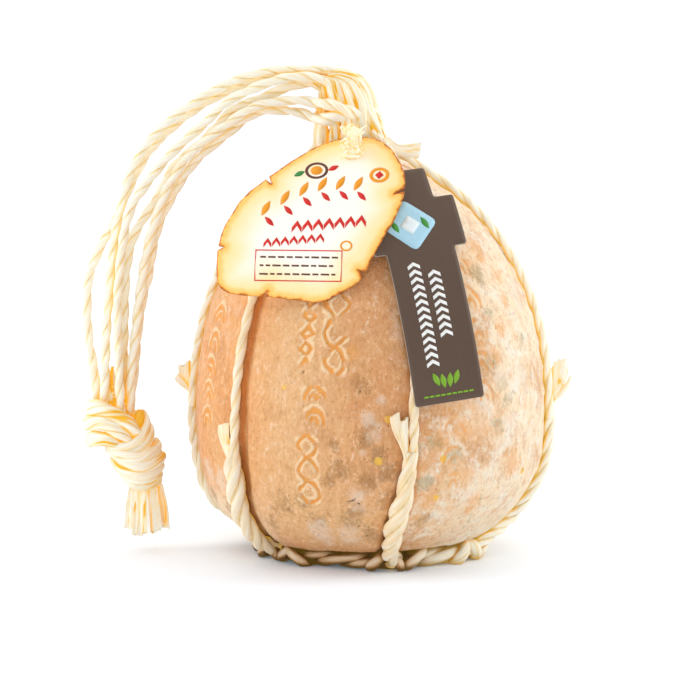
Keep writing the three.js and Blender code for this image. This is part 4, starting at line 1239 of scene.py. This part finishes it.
def end_knot(material):
    """Soft bundles round a core: bends at the left, bands over the front and the back."""
    around = circle(24)
    core = np.array([
        xyz(x + half_x * KNOT_CORE * np.cos(around), half_y * KNOT_CORE * np.sin(around), z)
        for z, x, half_x, half_y in KNOT_BODY[::-1]
    ])
    # The core, painted in crease shade all over
    patches = [skin(core, crease=core[..., 0] * 0 + 1, fibre=core * [1, 1, 0.6])]

    def lay_round(points, half_widths, half_thickness, seed, **more):
        line = curve_through(points)
        out = away_from(line, knot_axis(line))
        patches.append(bundle(line, out, half_widths, half_thickness, seed, **more))

    for i, points in enumerate(KNOT_BENDS):
        lay_round(points, KNOT_BEND_WIDTHS, 3.1, 140 + i, lay=0.13, edges=0.5)
    for i, (points, half_widths) in enumerate(KNOT_BANDS):
        for j, mirror in enumerate((1, KNOT_NEARER_BEHIND)):
            points = np.array(points) * [1, mirror, 1] + [0, 0, KNOT_HIGHER_BEHIND * j]
            points[:, 0] -= KNOT_DRAWN_IN * ease((points[:, 0] + 118) / 12)
            lay_round(points, half_widths, 2.3, 150 + 2 * i + j, lay=0.07, edges=0.9)
    # A bundle in the knot's hollow, painted in crease shade all over
    lay_round(KNOT_HOLLOW, [1.6, 2.6, 2.6], 2.4, 170, crease=1.0)
    for i, x in enumerate((-127.0, -123.9)):
        lay_round([[x - 0.6, -1.5, 90], [x, -3, 80], [x + 2.2, -5, 68]], [0.7, 1.6, 2.2], 1.6, 172 + i)
    return piece("twine_knot", patches, material, ["end_knot"])


TASSEL_X = -109  # the middle of the ends, which lie nearer to it than in the part
TASSEL_NARROWER = 0.88


def tassel(i, material):
    """One hanging end: three strips of raffia side by side."""
    middle = np.array([TASSEL_X, 0, 0])
    start, end = (np.array(TASSEL[i], float) - middle) * [TASSEL_NARROWER, 1, 1] + middle
    draw = np.random.default_rng(200 + i)
    patches = []
    for j, aside in enumerate((-1.5, 0.2, 1.7)):
        shift = np.array([aside * 0.8, draw.uniform(-1, 1), 3.0])
        finish = end + [aside * 1.5, draw.uniform(-1.2, 1.2), draw.uniform(0, 3)]
        half_way = mix(start + shift, finish, 0.5) + [draw.uniform(-0.8, 0.8), draw.uniform(-0.8, 0.8), 0]
        line = curve_through([start + shift, half_way, finish])
        side = RIGHT + np.array([0, draw.uniform(-0.4, 0.4), 0])
        patches.append(ribbon(line, side, [1.8, 2.3, 2.5], 1.4, 210 + 5 * i + j))
    return piece(f"raffia_tassel_{i + 1}", patches, material, [f"tassel_{i + 1}"])


# --- The tags ----------------------------------------------------------------------------------


def on_sheet(sheet, across, down, out):
    """Places on a sheet: across it, down from its top, and out of its face."""
    turn, tilt, top, foot = (sheet[k] * DEGREE for k in ("turn", "tilt", "lean_top", "lean_foot"))
    side = across * math.cos(tilt) + down * math.sin(tilt)
    fall = down * math.cos(tilt) - across * math.sin(tilt)
    bend = (top - foot) / sheet["length"]
    lean = top - bend * fall
    forward = (np.cos(lean) - math.cos(top)) / bend + out * np.cos(lean)
    drop = (math.sin(top) - np.sin(lean)) / bend - out * np.sin(lean)
    x = side * math.cos(turn) + forward * math.sin(turn)
    y = side * math.sin(turn) - forward * math.cos(turn)
    return xyz(x, y, -drop) + sheet["top"]


def distance_to(points, outline):
    """How far flat points are from a closed outline."""
    nearest = np.full(len(points), np.inf)
    for a, b in zip(outline, np.roll(outline, -1, axis=0)):
        step = b - a
        share = np.clip(((points - a) @ step) / max(step @ step, 1e-9), 0, 1)
        nearest = np.minimum(nearest, np.linalg.norm(points - a - share[:, None] * step, axis=1))
    return nearest


def inside(points, outline):
    """Which flat points lie inside a closed outline."""
    odd = np.zeros(len(points), bool)
    for (ax, ay), (bx, by) in zip(outline, np.roll(outline, -1, axis=0)):
        crosses = (ay > points[:, 1]) != (by > points[:, 1])
        reach = ax + (points[:, 1] - ay) * (bx - ax) / (by - ay if by != ay else 1e-9)
        odd ^= crosses & (points[:, 0] < reach)
    return odd


PLATE_MARGIN = 0.55  # of its grid's spacing, between the grid and the rims


def inside_only(points, outline, holes):
    """Which flat points lie inside an outline and in none of its holes."""
    kept = inside(points, outline)
    for hole in holes:
        kept &= ~inside(points, hole)
    return kept


def plate(sheet, outline, holes, back, front, spacing):
    """A thin plate on a sheet, between two distances out of its face. Edge is the distance in
    from its rim."""
    outline, *holes = loops = [np.asarray(loop, float) for loop in (outline, *holes)]
    (low_u, low_v), (high_u, high_v) = outline.min(axis=0), outline.max(axis=0)
    u, v = np.meshgrid(np.arange(low_u, high_u, spacing), np.arange(low_v, high_v, spacing))
    grid = np.stack([u.ravel(), v.ravel()], 1)
    keep = inside_only(grid, outline, holes)
    for loop in loops:
        keep &= distance_to(grid, loop) > spacing * PLATE_MARGIN
    points = np.concatenate([*loops, grid[keep]])
    rims, start = [], 0
    for loop in loops:
        ring = list(range(start, start + len(loop)))
        rims += list(zip(ring, ring[1:] + ring[:1]))
        start += len(loop)
    made = delaunay_2d_cdt([Vector(p) for p in points], rims, [], 0, 1e-6)
    flat = np.array([list(p) for p in made[0]])
    faces = np.array(made[2])
    faces = faces[inside_only(flat[faces].mean(axis=1), outline, holes)]
    a, b, c = (flat[faces[:, k]] for k in range(3))
    turned = (b[:, 0] - a[:, 0]) * (c[:, 1] - a[:, 1]) - (b[:, 1] - a[:, 1]) * (c[:, 0] - a[:, 0]) > 0
    faces = np.where(turned[:, None], faces[:, ::-1], faces)
    count = len(flat)
    edges = np.concatenate([faces[:, [0, 1]], faces[:, [1, 2]], faces[:, [2, 0]]])
    both = {tuple(edge) for edge in edges.tolist()}
    rim = [(p, q) for p, q in both if (q, p) not in both]
    sides = [[q, p, p + count, q + count] for p, q in rim]
    whole = faces.tolist() + (faces[:, ::-1] + count).tolist() + sides
    places = np.concatenate([on_sheet(sheet, flat[:, 0], flat[:, 1], out) for out in (front, back)])
    return places, whole, {"edge": np.tile(distance_to(flat, outline), 2)}


def ring_of(middle, radius, squash=1.0):
    """A round outline of 24 points."""
    angle = circle(24)
    return np.stack([middle[0] + radius * np.cos(angle), middle[1] + radius * squash * np.sin(angle)], 1)


def parchment_tag(material):
    """The scorched paper, with a rough edge, burnt cuts in it and the tie's hole."""
    outline = curve_through(np.array(PARCHMENT_OUTLINE, float), 1.0, closed=True)[:-1]
    flat = np.concatenate([outline, outline[:, :1] * 0], 1)
    rough = 0.55 * noise(flat, 6, 81) + 0.4 * noise(flat, 2.2, 82)
    middle = outline.mean(axis=0)
    outline = outline + unit(outline - middle) * (0.4 * rough - 0.1)[:, None]
    for place, depth, half in PARCHMENT_CUTS:
        nearest = np.argmin(np.linalg.norm(outline - place, axis=1))
        centre = len(outline) // 2
        outline = np.roll(outline, centre - nearest, axis=0)
        mouth = outline[centre]
        keep = np.linalg.norm(outline - mouth, axis=1) > half
        tip = mouth + unit(middle + [0, 8] - mouth) * depth
        before, after = outline[:centre][keep[:centre]], outline[centre:][keep[centre:]]
        flanks = [mix(before[-1], tip, 0.5), tip, mix(tip, after[0], 0.5)]
        outline = np.concatenate([before, flanks, after])
    hole = ring_of(PARCHMENT_HOLE, PARCHMENT_HOLE_RADIUS)
    patch = plate(PARCHMENT, outline, [hole], 0.0, PARCHMENT["thickness"], 1.6)
    return piece("parchment_sheet", [patch], material, ["parchment_tag"])


def rounded(outline, radius=1.2):
    """An outline with its corners cut round."""
    made = []
    points = np.asarray(outline, float)
    for before, corner, after in zip(np.roll(points, 1, axis=0), points, np.roll(points, -1, axis=0)):
        a = corner + unit(before - corner) * radius
        b = corner + unit(after - corner) * radius
        for t in np.linspace(0, 1, 4):
            made.append((1 - t) ** 2 * a + 2 * t * (1 - t) * corner + t * t * b)
    return np.array(made)


def finer(outline, step):
    """An outline with points no further apart than step."""
    made = []
    for a, b in zip(outline, np.roll(outline, -1, axis=0)):
        count = max(1, math.ceil(np.linalg.norm(b - a) / step))
        made += [mix(a, b, k / count) for k in range(count)]
    return np.array(made)


def card_tag(material):
    """The printed card, whose corners are cut round."""
    outline = finer(rounded(CARD_OUTLINE), 2.0)
    patch = plate(CARD, outline, [], 0.0, CARD["thickness"], 2.0)
    return piece("card_sheet", [patch], material, ["card_tag"])


PRINT_THICKNESS = 0.12
PRINT_SINKS = 0.05  # into what it lies on


def printed(sheet, ink, tint, shapes, above=0.0):
    """Shapes of one ink on a sheet's face, or above it, on another ink."""
    face = sheet["thickness"] + above
    patches = [
        plate(sheet, finer(shape, 2.0), holes, face - PRINT_SINKS, face + PRINT_THICKNESS, 2.5)
        for shape, holes in shapes
    ]
    return piece(f"print_{ink}", patches, ink_look(f"ink_{ink}", tint))


def placed(corners, x, y, turn=0.0):
    """A flat shape, turned and moved to its place."""
    c, s = math.cos(turn), math.sin(turn)
    return np.array(corners, float) @ np.array([[c, s], [-s, c]]) + [x, y]


def bar(x, y, half_x, half_y, turn=0.0):
    corners = [[-half_x, -half_y], [half_x, -half_y], [half_x, half_y], [-half_x, half_y]]
    return placed(corners, x, y, turn)


def leaf(x, y, length, width, turn):
    t = np.linspace(0, 1, 9)
    upper = np.stack([(t - 0.5) * length, width * np.sin(math.pi * t)], 1)
    return placed(np.concatenate([upper, -upper[1:-1]]), x, y, turn)


def chevron(x, y, reach, rise, thick):
    corners = [(-reach, 0), (0, -rise), (reach, 0), (reach, thick), (0, thick - rise), (-reach, thick)]
    return placed(corners, x, y)


def hoop(middle, outer, inner, squash):
    """A seal's round line: a disc with a hole."""
    return ring_of(middle, outer, squash), [ring_of(middle, inner, squash)]


# Of each row of chevrons on the parchment: where it starts, its height there, their size and spacing
CHEVRON_ROWS = [(-19.5, 52, (2.4, 3.4, 2.6), 5.1), (-33, 58.5, (1.9, 2.6, 2.0), 4.2)]
CHEVRONS = 7
CHEVRON_SLOPE = 0.12  # how much a row rises to the right
SPRIG_LEAVES = 6
BOX = (-17.4, 70.5)
DASH_ROWS = (66.5, 70.5, 74.5)
PRINT_SLOPE = 0.02  # how much the box and its dashes rise to the right


def parchment_print():
    """A sprig, two rows of chevrons, a box of dashes and three seals, in the red, orange, brown and
    green of such tags."""
    orange, red, brown = [], [], []
    for along in np.linspace(0, 1, SPRIG_LEAVES):
        x, y = mix(-37, 6, along), mix(47, 33, along) - 5 * math.sin(math.pi * along)
        orange.append((leaf(x + 1.5, y - 3.6, 8.4, 1.6, -1.15), []))
        red.append((leaf(x + 3.9, y + 2.8, 6.6, 1.2, 0.75), []))
    for left, middle, size, pitch in CHEVRON_ROWS:
        for i in range(CHEVRONS):
            x = left + i * pitch
            red.append((chevron(x, middle - CHEVRON_SLOPE * (x + 17), *size), []))
    red.append((bar(*BOX, 21.0, 7.4, -PRINT_SLOPE), [bar(*BOX, 20.5, 6.9, -PRINT_SLOPE)]))
    draw = np.random.default_rng(90)
    for y in DASH_ROWS:
        x = -36.0
        while x < 0:
            half = draw.uniform(0.9, 2.2)
            brown.append((bar(x + half, y - PRINT_SLOPE * (x + 17), half, 0.4), []))
            x += 2 * half + 1.1
    orange.append(hoop((17, 24.5), 4.8, 3.1, 0.85))
    red.append((bar(17, 24.5, 1.5, 1.5, math.pi / 4), []))
    brown.append(hoop((-13.5, 23), 5.6, 4.2, 0.8))
    orange.append((ring_of((-13.5, 23), 2.9, 0.8), []))
    red.append((leaf(-5.6, 21.4, 5.6, 1.3, -0.5), []))
    orange.append(hoop((5, 60.5), 3.0, 2.1, 0.85))
    printed(PARCHMENT, "orange", (246, 158, 34), orange)
    printed(PARCHMENT, "red", (220, 44, 36), red)
    printed(PARCHMENT, "brown", (104, 60, 46), brown)
    printed(PARCHMENT, "leaf", (60, 140, 70), [(leaf(-21.6, 25, 5.6, 1.3, -0.5), [])])


LOZENGE = (-2, 29.5)
# Of each column of chevrons on the card: where it is and the heights it runs between
CHEVRON_COLUMNS = [(-5.4, 50, 98), (3.6, 55, 86)]


def card_print():
    """A pale blue lozenge, two columns of white chevrons and green sprigs and dots."""
    white = [
        (chevron(x, y, 3.0, 1.9, 1.8), [])
        for x, low, high in CHEVRON_COLUMNS for y in np.arange(low, high, 3.6)
    ]
    green = [(leaf(-5 + 3.3 * k, 106 - abs(k - 1.5), 7, 1.4, 1.2 + 0.25 * k), []) for k in range(4)]
    green += [(bar(x, 112, 1.1, 0.45), []) for x in np.arange(-11, 11.1, 2.75)]
    printed(CARD, "blue", (178, 220, 238), [(rounded(bar(*LOZENGE, 9.6, 9.6, math.pi / 4), 3.0), [])])
    inner = [(bar(*LOZENGE, 3.6, 3.6, math.pi / 4), [])]
    sprigs = [(leaf(x, LOZENGE[1], 7, 1.4, 1.2), []) for x in (-9.4, 5.4)]
    printed(CARD, "pale", (236, 246, 248), inner, above=PRINT_THICKNESS)
    printed(CARD, "sprig", (70, 150, 60), sprigs, above=PRINT_THICKNESS)
    printed(CARD, "white", (246, 246, 242), white)
    printed(CARD, "green", (128, 176, 44), green)


# The parchment's tie: how far aside and up each of its bundles lies and half its width, how many stray
# fibres lie over them, and the points of the knot's swirl
TIE_BUNDLES = [(-1.9, 0.0, 1.7), (0.2, 0.7, 2.0), (2.1, 0.1, 1.7)]
WISPS = 170
SWIRL_POINTS = 60


def parchment_tie(material):
    """Bundles through the tag's hole, with stray fibres over them and a swirl on the tag."""
    u, w = PARCHMENT_HOLE
    line = curve_through([*PARCHMENT_TIE, *(on_sheet(PARCHMENT, u, w, out) for out in (3.4, 0.4, -3.4))])
    far = lengths(line)
    squeeze = np.interp(far, [0, far[-1] * 0.7, far[-1]], [1, 1, 0.2])[:, None]
    out = np.broadcast_to([0, -0.8, 0.6], line.shape)
    patches = []
    for i, (aside, lift, width) in enumerate(TIE_BUNDLES):
        shifted = line + np.array([aside, 0, lift]) * squeeze
        half_widths = [width, width, width * 1.1, width * 0.9, 0.9]
        patches.append(bundle(shifted, out, half_widths, 1.5, 231 + i, lay=0.2))
    draw = np.random.default_rng(230)
    for i in range(WISPS):
        start = line[int(draw.uniform(0.3, 0.96) * len(line))]
        start = start + [draw.uniform(-3.6, 3.6), -draw.uniform(0.2, 1.8), draw.uniform(-0.6, 1.0)]
        tip = start + [draw.uniform(-3.2, 3.2), -draw.uniform(0.0, 2.0), draw.uniform(-2.6, 3.6)]
        bend = mix(start, tip, 0.5) + draw.uniform(-1.0, 1.0, 3)
        wisp = curve_through([start, bend, tip], 0.7)
        patches.append(ribbon(wisp, RIGHT, [0.5, 0.45, 0.15], 0.4, 240 + i))
    turn = np.linspace(0.2 * math.pi, 3.4 * math.pi, SWIRL_POINTS)
    reach = np.linspace(4.0, 1.2, SWIRL_POINTS)
    lift = np.linspace(1.5, 3.6, SWIRL_POINTS)
    swirl = on_sheet(PARCHMENT, u + reach * np.cos(turn), w - 1.0 + 0.8 * reach * np.sin(turn), lift)
    patches.append(twine(evenly(swirl, 0.5), 236, radius=1.3, pitch=9))
    return piece("raffia_parchment_tie", patches, material, ["parchment_tie"])


def card_tie(material):
    patch = twine(curve_through(CARD_TIE), 240, radius=1.3, pitch=14)
    return piece("raffia_card_tie", [patch], material, ["card_tie"])


def binding_end(material):
    """The flat end of raffia beside the tags."""
    line = curve_through(BINDING_END)
    patch = ribbon(line, [0, 0.6, 0.8], [2.4, 2.9, 4.4], 1.0, 250, curl=0.1, ragged=1.0)
    return piece("raffia_binding_end", [patch], material, ["binding_end"])


# --- The room ------------------------------------------------------------------------------------


def aimed(name, data, place, target):
    """A camera or light that looks at a place."""
    made = bpy.data.objects.new(name, data)
    bpy.context.scene.collection.objects.link(made)
    made.location = place
    made.rotation_euler = (Vector(target) - made.location).to_track_quat("-Z", "Y").to_euler()
    return made


def camera():
    data = bpy.data.cameras.new("camera")
    data.lens = CAMERA_LENS
    data.sensor_width = CAMERA_SENSOR
    bpy.context.scene.camera = aimed("camera", data, CAMERA_PLACE, CAMERA_TARGET)


# The soft boxes: place, power in watts and side in metres
SOFT_BOXES = {
    "right_box": ((1.5, 0.1, 0.7), 9, 0.8),
    "left_box": ((-1.5, -0.1, 0.6), 8.5, 0.8),
    "front_box": ((-0.4, -2.7, 0.6), 15, 1.2),
}
SOFT_BOX_TARGET = (0.0, 0.0, 0.1)
SKY_LOW = 0.2
SKY_HIGH = 1.45
SKY_BRIGHTEST = (0.0, 0.5, 0.866)  # above and behind the cheese
SKY_BRIGHTENS_FROM = -0.2  # of the way towards there
FLOOR_HALF = 12.0
FLOOR_COLOUR = (0.925, 0.94, 0.96, 1.0)
FLOOR_GLOW = (0.2, 0.6, 1.0, 1.0)  # cool, because the cheese colours the light round it
FLOOR_GLOW_STRENGTH = 0.1


def floor():
    far = FLOOR_HALF
    mesh = bpy.data.meshes.new("floor")
    mesh.from_pydata([(-far, -far, 0), (far, -far, 0), (far, far, 0), (-far, far, 0)], [], [(0, 1, 2, 3)])
    made = bpy.data.objects.new("floor", mesh)
    bpy.context.scene.collection.objects.link(made)
    look = Look(
        "floor", 0.9, Base_Color=FLOOR_COLOUR, Specular_IOR_Level=0.0, Emission_Color=FLOOR_GLOW,
        Emission_Strength=FLOOR_GLOW_STRENGTH,
    )
    mesh.materials.append(look.material)


def sky():
    """A white world, brightest above and behind the cheese."""
    world = bpy.data.worlds.new("room")
    world.use_nodes = True
    tree = world.node_tree
    background = tree.nodes["Background"]
    background.inputs["Color"].default_value = (1, 1, 1, 1)
    towards = tree.nodes.new("ShaderNodeVectorMath")
    towards.operation = "DOT_PRODUCT"
    towards.inputs[1].default_value = SKY_BRIGHTEST
    tree.links.new(tree.nodes.new("ShaderNodeTexCoord").outputs["Generated"], towards.inputs[0])
    brighter = tree.nodes.new("ShaderNodeMapRange")
    brighter.interpolation_type = "SMOOTHSTEP"
    brighter.inputs["From Min"].default_value = SKY_BRIGHTENS_FROM
    brighter.inputs["To Min"].default_value = SKY_LOW
    brighter.inputs["To Max"].default_value = SKY_HIGH
    tree.links.new(towards.outputs["Value"], brighter.inputs["Value"])
    tree.links.new(brighter.outputs["Result"], background.inputs["Strength"])
    bpy.context.scene.world = world
    bpy.context.scene.view_settings.view_transform = "Standard"


def soft_boxes():
    for name, (place, power, size) in SOFT_BOXES.items():
        data = bpy.data.lights.new(name, "AREA")
        data.energy = power
        data.size = size
        aimed(name, data, place, SOFT_BOX_TARGET)


camera()
RAFFIA = raffia_look()
TAN_RAFFIA = raffia_look("raffia_tan", tan=0.5)
# Thin raffia: less painted crevice shade, and a painted glow on its open parts too
THIN_RAFFIA = raffia_look("raffia_thin", crevice_shade=0.4, through=(150, 124, 104))
TAN_CORDS = ("left_front", "front")
for number in range(len(STRANDS)):
    strand(number, RAFFIA)
end_knot(RAFFIA)
for number in range(len(TASSEL)):
    tassel(number, RAFFIA)
cheese(rind_look())
for number, (cord_name, cord_facts) in enumerate(NET.items()):
    cord_look = TAN_RAFFIA if cord_name in TAN_CORDS else RAFFIA
    net_cord(cord_name, cord_facts, cord_look, 20 + number)
    net_tail(cord_name, cord_facts, cord_look, 30 + number)
# The ring's raffia: painted shade towards its left and in its crevices, and a weaker painted glow
base_ring(raffia_look("raffia_low", glow=0.08, shade=1.0))
binding(RAFFIA)
parchment_tag(parchment_look())
card_tag(card_look())
parchment_print()
card_print()
parchment_tie(THIN_RAFFIA)
card_tie(RAFFIA)
binding_end(THIN_RAFFIA)
floor()
sky()
soft_boxes()
